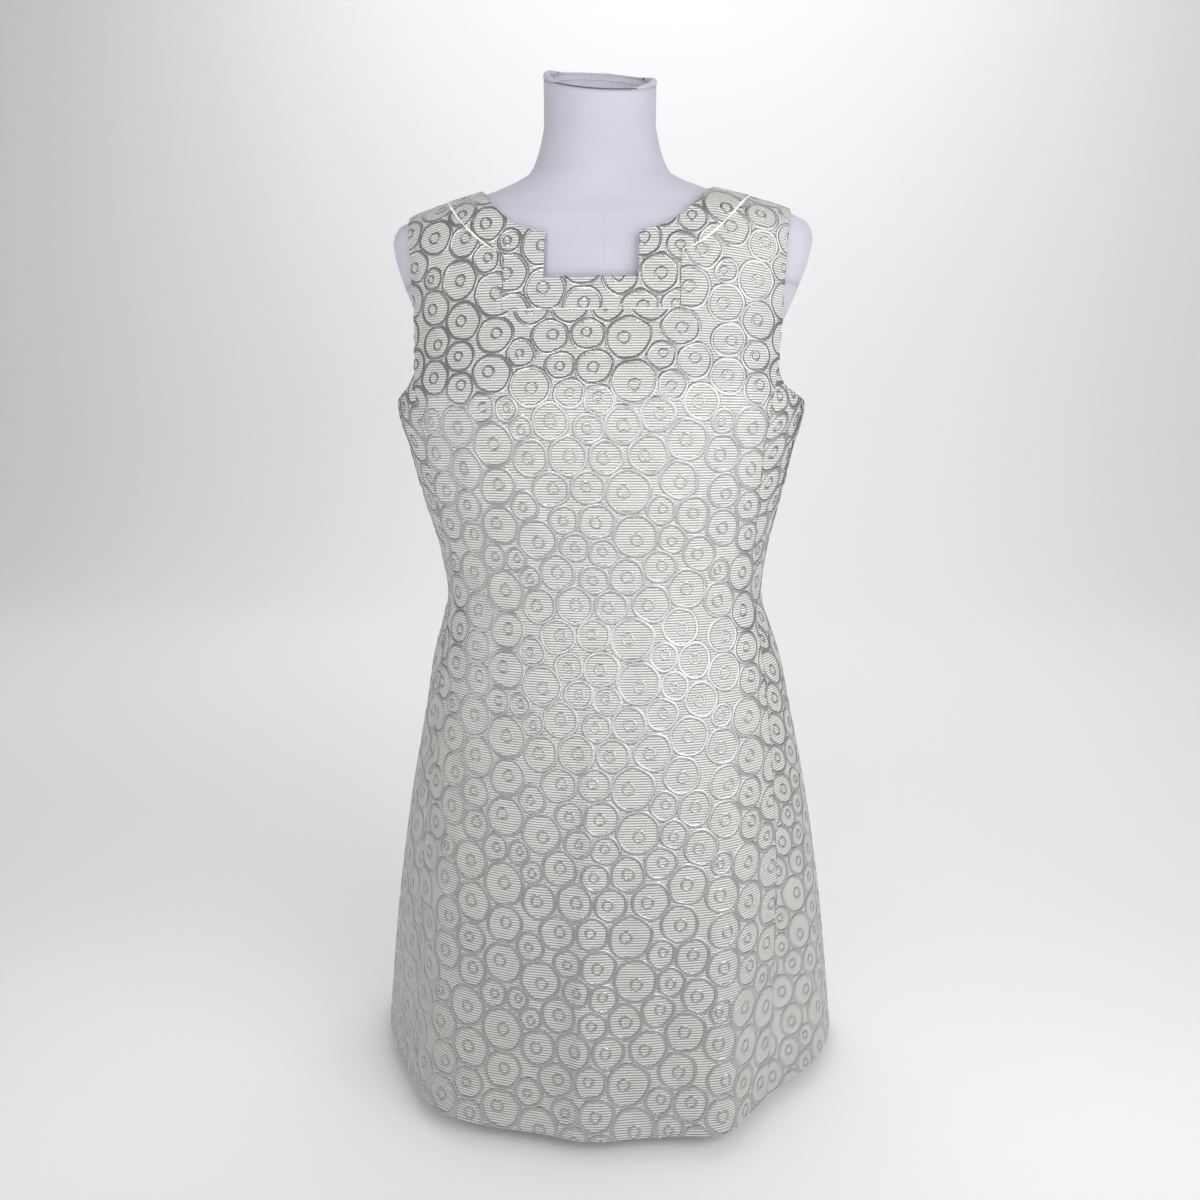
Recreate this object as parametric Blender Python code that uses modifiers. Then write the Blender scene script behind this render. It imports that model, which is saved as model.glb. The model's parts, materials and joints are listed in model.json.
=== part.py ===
"""A sleeveless sheath dress in brocade, standing on a limbless dress form.

The wearer's front faces -Y and the wearer's left is +X. Lengths are in metres. The bodies are stacks of
superellipse sections, and every cloth panel is a thin wall laid on those sections between its own seams.
"""
import math
from typing import NamedTuple

import bpy
import numpy as np
from mathutils import Matrix, Vector

# Driving sizes
HEM_HEIGHT = 0.016       # hem above the surface that the base stands on
PLACE = (-0.0072, 0.0270, HEM_HEIGHT)    # the figure's centre line at the hem, so that the whole is centred
WALL = 0.0016            # brocade with the interlining that is fused to it
REST_GAP = 0.0008        # air between the cloth and the form where the cloth rests
SEAM_GAP = 0.0003        # air between neighbouring pieces
SEAM_DRAW = 0.00025      # how far a seam's edge is drawn back: the walls lean together inwards
BAND_FOOT = 0.716        # seam under the neck band, above the hem
NECK_HALF = 0.105        # centre to the neck end of the shoulder
BAND_HALF = 0.137        # centre to the band's outer seam on the shoulder
SHOULDER_HALF = 0.171    # centre to the arm end of the shoulder
SHOULDER_TOP = 0.8297    # height of the shoulder line at its neck end
SHOULDER_END = 0.8105    # and at its arm end
STUB_HEIGHT = 0.789      # the widest line of the form's arm stubs
NOTCH_HALF = 0.040       # square notch in the front neckline
NOTCH_FOOT = 0.744
NOTCH_TOP = 0.783
BAND_CORNER_HALF = 0.0755
BAND_CORNER_HEIGHT = 0.766
BACK_NECK_HEIGHT = 0.812
BAND_WIDTH = 0.036
UNDERARM = 0.643
SEAM_TOP = 0.666         # where the side seam meets the armhole
SWAY = 0.0072            # how far the skirt hangs towards +X
SWAY_TOP = 0.64
SWAY_FULL = 0.30
NECK_HALF_TOP = 0.051    # half-width of the form's neck
SCOOP_CURVE = 2.0        # powers of the curves that rise to the shoulder: 1 is straight
BAND_SEAM_CURVE = 1.5
BACK_NECK_CURVE = 2.2
FOLD_GROWTH = 1.3        # how fast the folds deepen down the skirt
FOLD_FADE = 6            # and how late they die away towards the widest line
PROBE = 2.0e-5           # step for slopes of the surface
SAMPLES = 400            # places on a curve that is read between them


class Section(NamedTuple):
    height: float
    half_width: float
    front: float         # from the y = 0 plane to the front at the centre
    back: float
    middle: float        # y of the widest line
    power: float         # 2 is an ellipse, more is squarer, less is pointed


# The inside of the cloth, by height above the hem
DRESS = (
    Section(0.000, 0.2345, 0.187, 0.133, 0.020, 1.85),
    Section(0.130, 0.2193, 0.166, 0.124, 0.015, 1.90),
    Section(0.241, 0.2018, 0.146, 0.116, 0.010, 1.95),
    Section(0.348, 0.1798, 0.126, 0.105, 0.005, 2.05),
    Section(0.400, 0.1690, 0.116, 0.095, 0.003, 2.10),
    Section(0.441, 0.1560, 0.109, 0.085, 0.000, 2.10),
    Section(0.461, 0.1513, 0.107, 0.081, 0.000, 2.10),
    Section(0.501, 0.1560, 0.109, 0.081, 0.000, 2.10),
    Section(0.560, 0.1710, 0.117, 0.087, 0.000, 2.15),
    Section(0.600, 0.1800, 0.122, 0.092, 0.000, 2.20),
    Section(0.639, 0.1893, 0.126, 0.096, 0.000, 2.25),
    Section(0.680, 0.1815, 0.113, 0.097, 0.000, 2.30),
    Section(0.716, 0.1795, 0.099, 0.093, 0.000, 2.30),
    Section(0.744, 0.1845, 0.090, 0.089, 0.000, 2.30),
    Section(0.769, 0.1910, 0.082, 0.083, 0.000, 2.30),
    Section(STUB_HEIGHT, 0.1945, 0.075, 0.077, 0.000, 2.30),
    Section(0.801, 0.1895, 0.071, 0.072, 0.000, 2.25),
    Section(SHOULDER_END, SHOULDER_HALF, 0.067, 0.067, 0.000, 2.15),
    Section(0.8162, 0.1540, 0.065, 0.063, 0.000, 2.05),
    Section(0.8210, BAND_HALF, 0.063, 0.059, 0.000, 2.00),
    Section(SHOULDER_TOP, NECK_HALF, 0.060, 0.054, 0.000, 1.90),
    Section(0.846, 0.0665, 0.057, 0.050, 0.000, 1.90),
)
# The form under it
FORM = (
    Section(0.200, 0.1560, 0.092, 0.086, 0.000, 2.20),
    Section(0.212, 0.1660, 0.101, 0.095, 0.000, 2.20),
    Section(0.290, 0.1720, 0.108, 0.099, 0.000, 2.20),
    Section(0.380, 0.1580, 0.101, 0.084, 0.000, 2.15),
    Section(0.461, 0.1370, 0.093, 0.070, 0.000, 2.10),
    Section(0.540, 0.1500, 0.103, 0.077, 0.000, 2.15),
    Section(0.639, 0.1660, 0.119, 0.089, 0.000, 2.25),
    Section(0.680, 0.1640, 0.107, 0.091, 0.000, 2.30),
    Section(0.710, 0.1690, 0.096, 0.088, 0.000, 2.30),
    Section(0.728, 0.1755, 0.090, 0.086, 0.000, 2.30),
    Section(0.746, 0.1830, 0.084, 0.083, 0.000, 2.30),
    Section(0.769, 0.1910, 0.078, 0.079, 0.000, 2.30),
    Section(STUB_HEIGHT, 0.1945, 0.071, 0.073, 0.000, 2.30),
    Section(0.8008, 0.1895, 0.068, 0.068, 0.000, 2.25),
    Section(0.8101, 0.1710, 0.064, 0.063, 0.000, 2.15),
    Section(0.8158, 0.1540, 0.062, 0.060, 0.000, 2.05),
    Section(0.8206, 0.1370, 0.061, 0.056, 0.000, 2.00),
    Section(0.8293, 0.1050, 0.059, 0.052, 0.000, 1.90),
    Section(0.8456, 0.0665, 0.057, 0.049, 0.000, 1.90),
    Section(0.856, 0.0598, 0.055, 0.048, 0.000, 1.95),
    Section(0.868, 0.0555, 0.053, 0.047, 0.000, 2.00),
    Section(0.887, 0.0510, 0.051, 0.047, 0.000, 2.00),
)


class Fold(NamedTuple):
    side: int            # -1 on the front, 1 on the back
    hem_x: float
    top_x: float
    top: float           # height above the hem where the fold has died out
    spread: float        # half its width
    rise: float          # outwards at the hem, negative for a groove


FOLDS = (
    Fold(-1, 0.112, 0.118, 0.42, 0.026, 0.0130),
    Fold(-1, -0.136, -0.122, 0.46, 0.058, 0.0190),
    Fold(-1, 0.182, 0.165, 0.38, 0.034, -0.0120),
    Fold(-1, -0.176, -0.160, 0.40, 0.018, -0.0040),
    Fold(-1, 0.045, 0.040, 0.34, 0.026, -0.0030),
    Fold(-1, -0.048, -0.045, 0.30, 0.028, -0.0025),
    Fold(1, 0.105, 0.100, 0.36, 0.034, 0.0070),
    Fold(1, -0.112, -0.105, 0.38, 0.036, 0.0080),
    Fold(1, 0.052, 0.050, 0.30, 0.028, -0.0030),
    Fold(1, -0.050, -0.050, 0.28, 0.026, -0.0030),
)


class EdgePoint(NamedTuple):
    height: float
    x: float


# Half the front panel's width along the side seam
SIDE_SEAM = (
    EdgePoint(0.000, 0.1640), EdgePoint(0.100, 0.1670), EdgePoint(0.200, 0.1665), EdgePoint(0.295, 0.1600),
    EdgePoint(0.400, 0.1500), EdgePoint(0.461, 0.1440), EdgePoint(0.520, 0.1430), EdgePoint(0.600, 0.1490),
    EdgePoint(0.640, 0.1540), EdgePoint(SEAM_TOP, 0.1600),
)
# The armhole's edge, from under the arm to the shoulder
FRONT_ARMHOLE = (
    EdgePoint(UNDERARM, 0.1900), EdgePoint(0.646, 0.1840), EdgePoint(0.652, 0.1735), EdgePoint(0.659, 0.1655),
    EdgePoint(SEAM_TOP, 0.1600), EdgePoint(0.680, 0.1608), EdgePoint(0.716, 0.1635), EdgePoint(0.750, 0.1650),
    EdgePoint(0.790, 0.1675), EdgePoint(SHOULDER_END, SHOULDER_HALF),
)
BACK_ARMHOLE = (
    EdgePoint(UNDERARM, 0.1900), EdgePoint(0.650, 0.1845), EdgePoint(0.660, 0.1755), EdgePoint(0.673, 0.1700),
    EdgePoint(0.692, 0.1675), EdgePoint(0.716, 0.1655), EdgePoint(0.750, 0.1660), EdgePoint(0.790, 0.1680),
    EdgePoint(SHOULDER_END, SHOULDER_HALF),
)

# How finely the pieces are divided
PANEL_ROWS = 24          # hem to the top of the side seam
ARMHOLE_ROWS = 2         # from there to the band's foot
CENTRE_COLUMNS = 8       # across the band's foot
SIDE_COLUMNS = 6         # from the band to the armhole
DROP_ROWS = 3            # up the straight part of the band
CURVE_ROWS = 8           # up its curved part to the shoulder
BAND_ROWS = 3
BACK_SEAM_COLUMNS = 9    # along the back band's seam
SHOULDER_COLUMNS = 3
BACK_ARM_COLUMNS = 5     # down the back of the armhole to the underarm
FRONT_ARM_COLUMNS = 3    # and up its front to the side seam
BACK_UPPER_ROWS = 10
SIDE_CROWDING = 1.25     # how much the side columns crowd together towards the armhole
ARMHOLE_BOW = 3
FORM_SIDES = 48
FORM_STEP = 0.024
TURN = math.pi / 2

# The form's neck, open at the top and cut lower at the front
RIM_FRONT = 0.906
RIM_BACK = 0.948
NECK_WALL = 0.0055
POCKET_FLOOR = 0.866
POCKET_TAPER = 0.82
RIM_RADIUS = 0.0026
RIM_SIDES = 36
CREASE_ANGLE = math.radians(50)
# The stand inside the skirt
STAND_Y = -0.015
BASE_RADIUS = 0.125
BASE_HEIGHT = 0.007
BASE_EDGE = 0.002
POST_RADIUS = 0.0125
FLANGE_RADIUS = 0.050
FLANGE_HEIGHT = 0.005
ROUND_STEPS = 48
# The concealed zip in the centre back seam
ZIP_FOOT = 0.420
ZIP_TOP = 0.806
TAPE_HALF = 0.011
TAPE_THICK = 0.0008
TAPE_GAP = 0.0009        # behind the cloth's inner face
TAPE_ROWS = 14
SLIDER_HEIGHT = 0.797    # the slider's place, above the hem
PLATE = (0.0055, 0.0090, 0.0010)
BRIDGE_WIDTH = 0.0020
BRIDGE_LENGTH = 0.0080
BRIDGE_LEG = 0.0015
BRIDGE_FOOT = 0.0009     # all above the cloth's face
BRIDGE_HOLE_TOP = 0.0031
BRIDGE_TOP = 0.0040
CROWN_SHARE = 0.98       # keeps the crown's faces off the legs' faces
HINGE_DROP = 0.0016      # from the bridge's middle down to the hinge line
HINGE_RISE = 0.0023      # from the cloth's face out to it
PULL_THICK = 0.0009
PULL_WINDOW_HALF = 0.0015
PULL_WINDOW_FOOT = -0.0036


def smooth_curve(at: np.ndarray, stops: np.ndarray, values: np.ndarray) -> np.ndarray:
    """A monotone cubic through the stops, which never overshoots them."""
    step = np.diff(stops)
    slope = np.diff(values) / step
    before, after = slope[:-1], slope[1:]
    total = np.where(before + after == 0.0, 1.0, before + after)
    tangent = np.concatenate([slope[:1], np.where(before * after > 0.0, 2 * before * after / total, 0.0), slope[-1:]])
    at = np.clip(at, stops[0], stops[-1])
    cell = np.clip(np.searchsorted(stops, at, side="right") - 1, 0, len(step) - 1)
    t = (at - stops[cell]) / step[cell]
    rising = values[cell] * (1 + 2 * t) * (1 - t) ** 2 + tangent[cell] * step[cell] * t * (1 - t) ** 2
    return rising + values[cell + 1] * t * t * (3 - 2 * t) - tangent[cell + 1] * step[cell] * t * t * (1 - t)


def along(table: tuple, name: str, height: np.ndarray) -> np.ndarray:
    """A named column of a table, read at any height."""
    stops = np.array([row.height for row in table])
    return smooth_curve(np.asarray(height, float), stops, np.array([getattr(row, name) for row in table]))


class Figure:
    """A closed body: at each height its outline is |x / half|^p + |(y - middle) / depth|^p = 1."""

    def __init__(self, sections: tuple):
        self.sections = sections

    def size(self, name: str, height: np.ndarray) -> np.ndarray:
        return along(self.sections, name, height)

    def depth(self, side: np.ndarray, height: np.ndarray) -> np.ndarray:
        """Half-depth in front (side below 0) or behind, measured from the widest line."""
        middle = self.size("middle", height)
        return np.where(side < 0, self.size("front", height) + middle, self.size("back", height) - middle)

    def level(self, points: np.ndarray) -> np.ndarray:
        """1 on the surface and more outside it."""
        x, height = points[..., 0], points[..., 2]
        offset = points[..., 1] - self.size("middle", height)
        power = self.size("power", height)
        across = (np.abs(x) / self.size("half_width", height)) ** power
        return across + (np.abs(offset) / self.depth(offset, height)) ** power

    def outward(self, points: np.ndarray) -> np.ndarray:
        """The unit direction that leaves the surface squarely."""
        slope = np.stack(
            [self.level(points + PROBE * axis) - self.level(points - PROBE * axis) for axis in np.eye(3)], axis=-1)
        return slope / np.linalg.norm(slope, axis=-1, keepdims=True)

    def on_side(self, x: np.ndarray, height: np.ndarray, side: int) -> np.ndarray:
        """The surface straight in front of (side -1) or behind (side 1) the place (x, height)."""
        power = self.size("power", height)
        inside = np.clip(1 - (np.abs(x) / self.size("half_width", height)) ** power, 0.0, None)
        depth = self.depth(np.full_like(x, side), height)
        return np.stack([x, self.size("middle", height) + side * depth * inside ** (1 / power), height], axis=-1)

    def ring(self, angle: np.ndarray, height: np.ndarray) -> np.ndarray:
        """A point by angle: 0 at the centre back, a quarter turn at the left side, a half turn in front."""
        power = self.size("power", height)
        across, fore = np.sin(angle), np.cos(angle)
        x = self.size("half_width", height) * np.sign(across) * np.abs(across) ** (2 / power)
        y = self.size("middle", height) + self.depth(fore, height) * np.sign(fore) * np.abs(fore) ** (2 / power)
        return np.stack([x, y, height], axis=-1)

    def angle_of(self, x: np.ndarray, height: np.ndarray, side: int) -> np.ndarray:
        """The angle whose ring point has this x, on the back (side 1) or the front."""
        ratio = np.clip(x / self.size("half_width", height), 0.0, 1.0)
        turn = np.arcsin(ratio ** (self.size("power", height) / 2))
        return turn if side > 0 else math.pi - turn


dress = Figure(DRESS)
form = Figure(FORM)


def fold_rise(points: np.ndarray) -> np.ndarray:
    """How far the skirt's soft folds stand out of the plain surface, dying away at its widest line."""
    x, y, height = points[..., 0], points[..., 1], points[..., 2]
    side = np.where(y < dress.size("middle", height), -1, 1)
    fade = 1 - np.clip(np.abs(x) / dress.size("half_width", height), 0.0, 1.0) ** FOLD_FADE
    rise = np.zeros_like(x)
    for fold in FOLDS:
        down = np.clip(1 - height / fold.top, 0.0, 1.0)
        centre = fold.top_x + (fold.hem_x - fold.top_x) * down
        shape = np.exp(-((x - centre) / fold.spread) ** 2)
        rise += np.where(side == fold.side, fold.rise * down ** FOLD_GROWTH * shape, 0.0)
    return rise * fade


def sway(height: np.ndarray) -> np.ndarray:
    """How far the cloth hangs to one side of the form."""
    down = np.clip((SWAY_TOP - height) / (SWAY_TOP - SWAY_FULL), 0.0, 1.0)
    return SWAY * down * down * (3 - 2 * down)


def cloth_over(points: np.ndarray, below: float = 0.0) -> np.ndarray:
    """The cloth's outer face over points of the inner surface, or a face that lies below it."""
    reach = REST_GAP + WALL - below + fold_rise(points)
    moved = points + dress.outward(points) * reach[..., None]
    moved[..., 0] += sway(points[..., 2])
    return moved


def shoulder_line(x: np.ndarray) -> np.ndarray:
    """Height of the shoulder line, level inside the neck's width."""
    heights = np.linspace(SHOULDER_TOP, STUB_HEIGHT, SAMPLES)
    return np.interp(np.abs(x), dress.size("half_width", heights), heights)


def climb(x: np.ndarray, height: np.ndarray) -> np.ndarray:
    """0 on the band's foot and 1 on the shoulder line, in steps that stay even over the round shoulder."""
    top = shoulder_line(x)
    return 1 - np.sqrt(np.clip((top - height) / (top - BAND_FOOT), 0.0, 1.0))


def climbed(x: np.ndarray, share: np.ndarray) -> np.ndarray:
    """The height at a share of the climb."""
    top = shoulder_line(x)
    return top - (top - BAND_FOOT) * (1 - share) ** 2


def x_at(x: np.ndarray, height: np.ndarray, shares: np.ndarray) -> np.ndarray:
    """Where a rising edge, given by many places, passes each share of the climb."""
    return np.interp(shares, climb(x, height), x)


def armhole_x(table: tuple, shares: np.ndarray) -> np.ndarray:
    heights = np.linspace(BAND_FOOT, table[-1].height, SAMPLES)
    return x_at(along(table, "x", heights), heights, shares)


def rise_to_shoulder(start: tuple, end_half: float, power: float) -> tuple:
    """Many places on an edge that curves up from its start to the shoulder line."""
    run = np.linspace(0.0, 1.0, SAMPLES)
    top = shoulder_line(np.array([end_half]))[0]
    return start[0] + (end_half - start[0]) * run, start[1] + (top - start[1]) * run ** power


def both_hands(half: np.ndarray, odd: bool) -> np.ndarray:
    """A row from the centre outwards, made whole by its mirror image."""
    return np.concatenate([(-1 if odd else 1) * half[:0:-1], half])


def rows_between(first: np.ndarray, last: np.ndarray, count: int) -> np.ndarray:
    share = np.linspace(0.0, 1.0, count + 1)[:, None]
    return first * (1 - share) + last * share


# Shares of the climb at the rows beside the front band
CORNER_SHARE = float(climb(np.array([BAND_CORNER_HALF]), np.array([BAND_CORNER_HEIGHT]))[0])
SIDE_SHARES = np.concatenate([
    np.linspace(0.0, CORNER_SHARE, DROP_ROWS + 1), np.linspace(CORNER_SHARE, 1.0, CURVE_ROWS + 1)[1:]])


def front_seam_x() -> np.ndarray:
    """The front band's outer seam beside the side rows."""
    edge = rise_to_shoulder((BAND_CORNER_HALF, BAND_CORNER_HEIGHT), BAND_HALF, BAND_SEAM_CURVE)
    return np.where(SIDE_SHARES <= CORNER_SHARE, BAND_CORNER_HALF, x_at(*edge, SIDE_SHARES))


def front_neckline() -> tuple:
    """The notch's side and the scoop above it: x and share of the climb for each side row."""
    drop = np.linspace(NOTCH_FOOT, NOTCH_TOP, DROP_ROWS + 1)
    drop_x = np.full_like(drop, NOTCH_HALF)
    drop_share = climb(drop_x, drop)
    share = np.linspace(drop_share[-1], 1.0, CURVE_ROWS + 1)[1:]
    scoop_x = x_at(*rise_to_shoulder((NOTCH_HALF, NOTCH_TOP), NECK_HALF, SCOOP_CURVE), share)
    return np.concatenate([drop_x, scoop_x]), np.concatenate([drop_share, share])


def back_edge(centre_height: float, end_half: float) -> tuple:
    """An edge round the back neck, from the centre to the shoulder: x and share of the climb."""
    run = np.sin(np.linspace(0.0, TURN, BACK_SEAM_COLUMNS + 1))
    top = shoulder_line(np.array([end_half]))[0]
    x = end_half * run
    return x, climb(x, centre_height + (top - centre_height) * run ** BACK_NECK_CURVE)


class Patch(NamedTuple):
    """A grid of a piece's outer face, the edges that lie in a seam, and whether its faces are turned round."""

    grid: np.ndarray
    seams: tuple         # (edge name, first place, last place)
    turned: bool


EDGES = {
    "first_row": (np.s_[0, :], np.s_[1, :]), "last_row": (np.s_[-1, :], np.s_[-2, :]),
    "first_column": (np.s_[:, 0], np.s_[:, 1]), "last_column": (np.s_[:, -1], np.s_[:, -2]),
}


def material(name: str, colour: tuple, roughness: float, metallic: float = 0.0) -> bpy.types.Material:
    made = bpy.data.materials.new(name)
    made.use_nodes = True
    shader = made.node_tree.nodes["Principled BSDF"]
    shader.inputs["Base Color"].default_value = (*colour, 1.0)
    shader.inputs["Roughness"].default_value = roughness
    shader.inputs["Metallic"].default_value = metallic
    return made


def add_object(name: str, data: bpy.types.ID, finish: bpy.types.Material) -> bpy.types.Object:
    made = bpy.data.objects.new(name, data)
    data.materials.append(finish)
    bpy.data.collections["sheath_dress"].objects.link(made)
    return made


def mesh_of(name: str, points: np.ndarray, faces: list) -> bpy.types.Mesh:
    mesh = bpy.data.meshes.new(name)
    mesh.from_pydata([tuple(point) for point in points], [], faces)
    mesh.shade_smooth()
    return mesh


def quads(index: np.ndarray, turned: bool) -> list:
    """Faces of a grid of point numbers."""
    corners = np.stack([index[:-1, :-1], index[:-1, 1:], index[1:, 1:], index[1:, :-1]], axis=-1).reshape(-1, 4)
    return [tuple(int(i) for i in (face[::-1] if turned else face)) for face in corners]


def cloth_piece(name: str, patches: list, finish: bpy.types.Material, thick: float = WALL) -> bpy.types.Object:
    """A piece of cloth: its patches joined where they share points, drawn back from seams, thickened inwards."""
    points, faces, known = [], [], {}
    shifts = {}
    for patch in patches:
        index = np.zeros(patch.grid.shape[:2], int)
        for place in np.ndindex(index.shape):
            point = patch.grid[place]
            index[place] = known.setdefault(tuple(np.round(point, 5)), len(points))
            if index[place] == len(points):
                points.append(point)
        faces += quads(index, patch.turned)
        for edge, first, last in patch.seams:
            line, near = EDGES[edge]
            inward = patch.grid[near] - patch.grid[line]
            inward /= np.linalg.norm(inward, axis=-1, keepdims=True)
            for number, way in list(zip(index[line], inward))[first:last]:
                shifts[number] = shifts.get(number, 0.0) + way * SEAM_DRAW
    moved = np.array(points)
    for number, shift in shifts.items():
        moved[number] += shift
    made = add_object(name, mesh_of(name, moved + PLACE, faces), finish)
    wall = made.modifiers.new("Wall", "SOLIDIFY")
    wall.thickness = thick
    wall.offset = -1.0
    return made


def whole(*names: str) -> tuple:
    return tuple((name, None, None) for name in names)


def front_panel(finish: bpy.types.Material) -> None:
    """From the hem to the band's foot across the whole width, then up each side of the band."""
    heights = np.concatenate([
        np.linspace(0.0, SEAM_TOP, PANEL_ROWS + 1), np.linspace(SEAM_TOP, BAND_FOOT, ARMHOLE_ROWS + 1)[1:]])
    edge = np.where(heights <= SEAM_TOP, along(SIDE_SEAM, "x", heights), along(FRONT_ARMHOLE, "x", heights))
    spread = np.sin(np.linspace(0.0, SIDE_CROWDING, SIDE_COLUMNS + 1)) / math.sin(SIDE_CROWDING)
    centre = np.linspace(0.0, BAND_CORNER_HALF, CENTRE_COLUMNS // 2 + 1)
    x = np.stack([
        both_hands(np.concatenate([centre, (BAND_CORNER_HALF + (half - BAND_CORNER_HALF) * spread)[1:]]), True)
        for half in edge])
    lower = cloth_over(dress.on_side(x, heights[:, None] + 0 * x, -1))
    foot_seam = ("last_row", SIDE_COLUMNS, SIDE_COLUMNS + CENTRE_COLUMNS + 1)
    patches = [Patch(lower, (foot_seam, ("first_column", 0, PANEL_ROWS + 1), ("last_column", 0, PANEL_ROWS + 1)),
                     False)]
    inner, outer = front_seam_x()[:, None], armhole_x(FRONT_ARMHOLE, SIDE_SHARES)[:, None]
    upper_x = inner + (outer - inner) * spread
    upper_height = climbed(upper_x, SIDE_SHARES[:, None] + 0 * upper_x)
    for hand in (1, -1):
        upper = cloth_over(dress.on_side(hand * upper_x, upper_height, -1))
        foot = lower[-1, -1 - SIDE_COLUMNS:] if hand > 0 else lower[-1, SIDE_COLUMNS::-1]
        upper[0] = foot
        patches.append(Patch(upper, whole("first_column", "last_row"), hand < 0))
    cloth_piece("front_panel", patches, finish)


def neck_band_front(finish: bpy.types.Material) -> None:
    """A strip round the front neck, whose upper edge is the scoop with the square notch."""
    half = CENTRE_COLUMNS // 2
    foot_x = np.linspace(0.0, BAND_CORNER_HALF, half + 1)
    notch_x = np.linspace(0.0, NOTCH_HALF, half + 1)
    notch_share = climb(notch_x, np.full_like(notch_x, NOTCH_FOOT))
    neck_x, neck_share = front_neckline()
    x = rows_between(both_hands(np.concatenate([foot_x, front_seam_x()[1:]]), True),
                     both_hands(np.concatenate([notch_x, neck_x[1:]]), True), BAND_ROWS)
    share = rows_between(both_hands(np.concatenate([0 * foot_x, SIDE_SHARES[1:]]), False),
                         both_hands(np.concatenate([notch_share, neck_share[1:]]), False), BAND_ROWS)
    grid = cloth_over(dress.on_side(x, climbed(x, share), -1))
    cloth_piece("neck_band_front", [Patch(grid, whole("first_row", "first_column", "last_column"), False)], finish)


def back_panel(name: str, hand: int, finish: bpy.types.Material) -> None:
    """Half the back (hand 1 is the left): round to the side seam below, and up to the band and shoulder."""
    back_heights = np.linspace(BAND_FOOT, UNDERARM, BACK_ARM_COLUMNS + 1)
    front_heights = np.linspace(UNDERARM, SEAM_TOP, FRONT_ARM_COLUMNS + 1)[1:]
    back_angles = dress.angle_of(along(BACK_ARMHOLE, "x", back_heights), back_heights, 1)
    front_angles = dress.angle_of(along(FRONT_ARMHOLE, "x", front_heights), front_heights, -1)
    upper_columns = BACK_SEAM_COLUMNS + SHOULDER_COLUMNS
    top_angle = np.concatenate([
        np.linspace(0.0, back_angles[0], upper_columns + 1), back_angles[1:], front_angles])
    top_height = np.concatenate([np.full(upper_columns, BAND_FOOT), back_heights, front_heights])
    share = np.linspace(0.0, 1.0, PANEL_ROWS + 1)[:, None]
    height = share * top_height
    seam_height = np.minimum(height, SEAM_TOP)
    seam_angle = dress.angle_of(along(SIDE_SEAM, "x", seam_height), seam_height, -1)
    even = np.linspace(0.0, 1.0, len(top_angle))
    angle = seam_angle * (even * (1 - share ** 2) + top_angle / top_angle[-1] * share ** 2)
    mirror = np.array([hand, 1.0, 1.0])
    lower = cloth_over(dress.ring(angle, height) * mirror)
    band_x, band_share = back_edge(BACK_NECK_HEIGHT - BAND_WIDTH, BAND_HALF)
    shoulder_x = np.linspace(BAND_HALF, SHOULDER_HALF, SHOULDER_COLUMNS + 1)[1:]
    top_x = np.concatenate([band_x, shoulder_x])
    top_share = np.concatenate([band_share, np.ones(SHOULDER_COLUMNS)])
    foot_x = dress.ring(top_angle, top_height)[:upper_columns + 1, 0]
    upper_share = rows_between(0 * top_share, top_share, BACK_UPPER_ROWS)
    upper_x = rows_between(foot_x, top_x, BACK_UPPER_ROWS)
    bow = armhole_x(BACK_ARMHOLE, upper_share[:, -1]) - upper_x[:, -1]
    upper_x = upper_x + bow[:, None] * np.linspace(0.0, 1.0, upper_columns + 1) ** ARMHOLE_BOW
    upper = cloth_over(dress.on_side(upper_x, climbed(upper_x, upper_share), 1) * mirror)
    upper[0] = lower[-1, :upper_columns + 1]
    cloth_piece(name, [Patch(lower, whole("first_column", "last_column"), hand > 0),
                       Patch(upper, whole("first_column", "last_row"), hand > 0)], finish)


def neck_band_back(name: str, hand: int, finish: bpy.types.Material) -> None:
    """Half the plain strip round the back neck."""
    foot_x, foot_share = back_edge(BACK_NECK_HEIGHT - BAND_WIDTH, BAND_HALF)
    neck_x, neck_share = back_edge(BACK_NECK_HEIGHT, NECK_HALF)
    x = rows_between(foot_x, neck_x, BAND_ROWS)
    share = rows_between(foot_share, neck_share, BAND_ROWS)
    grid = cloth_over(dress.on_side(x, climbed(x, share), 1) * np.array([hand, 1.0, 1.0]))
    cloth_piece(name, [Patch(grid, whole("first_row", "first_column", "last_column"), hand > 0)], finish)


def zip_tape(finish: bpy.types.Material) -> None:
    """The zip's two tapes, closed, against the inside of the centre back seam."""
    x = np.linspace(-TAPE_HALF, TAPE_HALF, 5)[None] + np.zeros((TAPE_ROWS + 1, 1))
    height = np.linspace(ZIP_FOOT, ZIP_TOP, TAPE_ROWS + 1)[:, None] + 0 * x
    grid = cloth_over(dress.on_side(x, height, 1), WALL + TAPE_GAP)
    cloth_piece("zip_tape", [Patch(grid, (), True)], finish, TAPE_THICK)


def slider_frame() -> Matrix:
    """The slider's place, seen from behind: X to the right, Y up along the cloth, Z out of it."""
    place = dress.on_side(np.zeros(1), np.array([SLIDER_HEIGHT]), 1)
    outward = Vector(dress.outward(place)[0])
    across = Vector((-1.0, 0.0, 0.0))
    turn = Matrix((across, outward.cross(across), outward)).transposed().to_4x4()
    return Matrix.Translation(cloth_over(place)[0] + PLACE) @ turn


def block(name: str, size: tuple, centre: tuple, finish: bpy.types.Material) -> bpy.types.Object:
    bpy.ops.mesh.primitive_cube_add(size=1.0)
    made = bpy.context.object
    made.name = name
    for owner in made.users_collection:
        owner.objects.unlink(made)
    bpy.data.collections["sheath_dress"].objects.link(made)
    made.data.transform(Matrix.Translation(centre) @ Matrix.Diagonal((*size, 1.0)))
    made.data.materials.append(finish)
    return made


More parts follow.
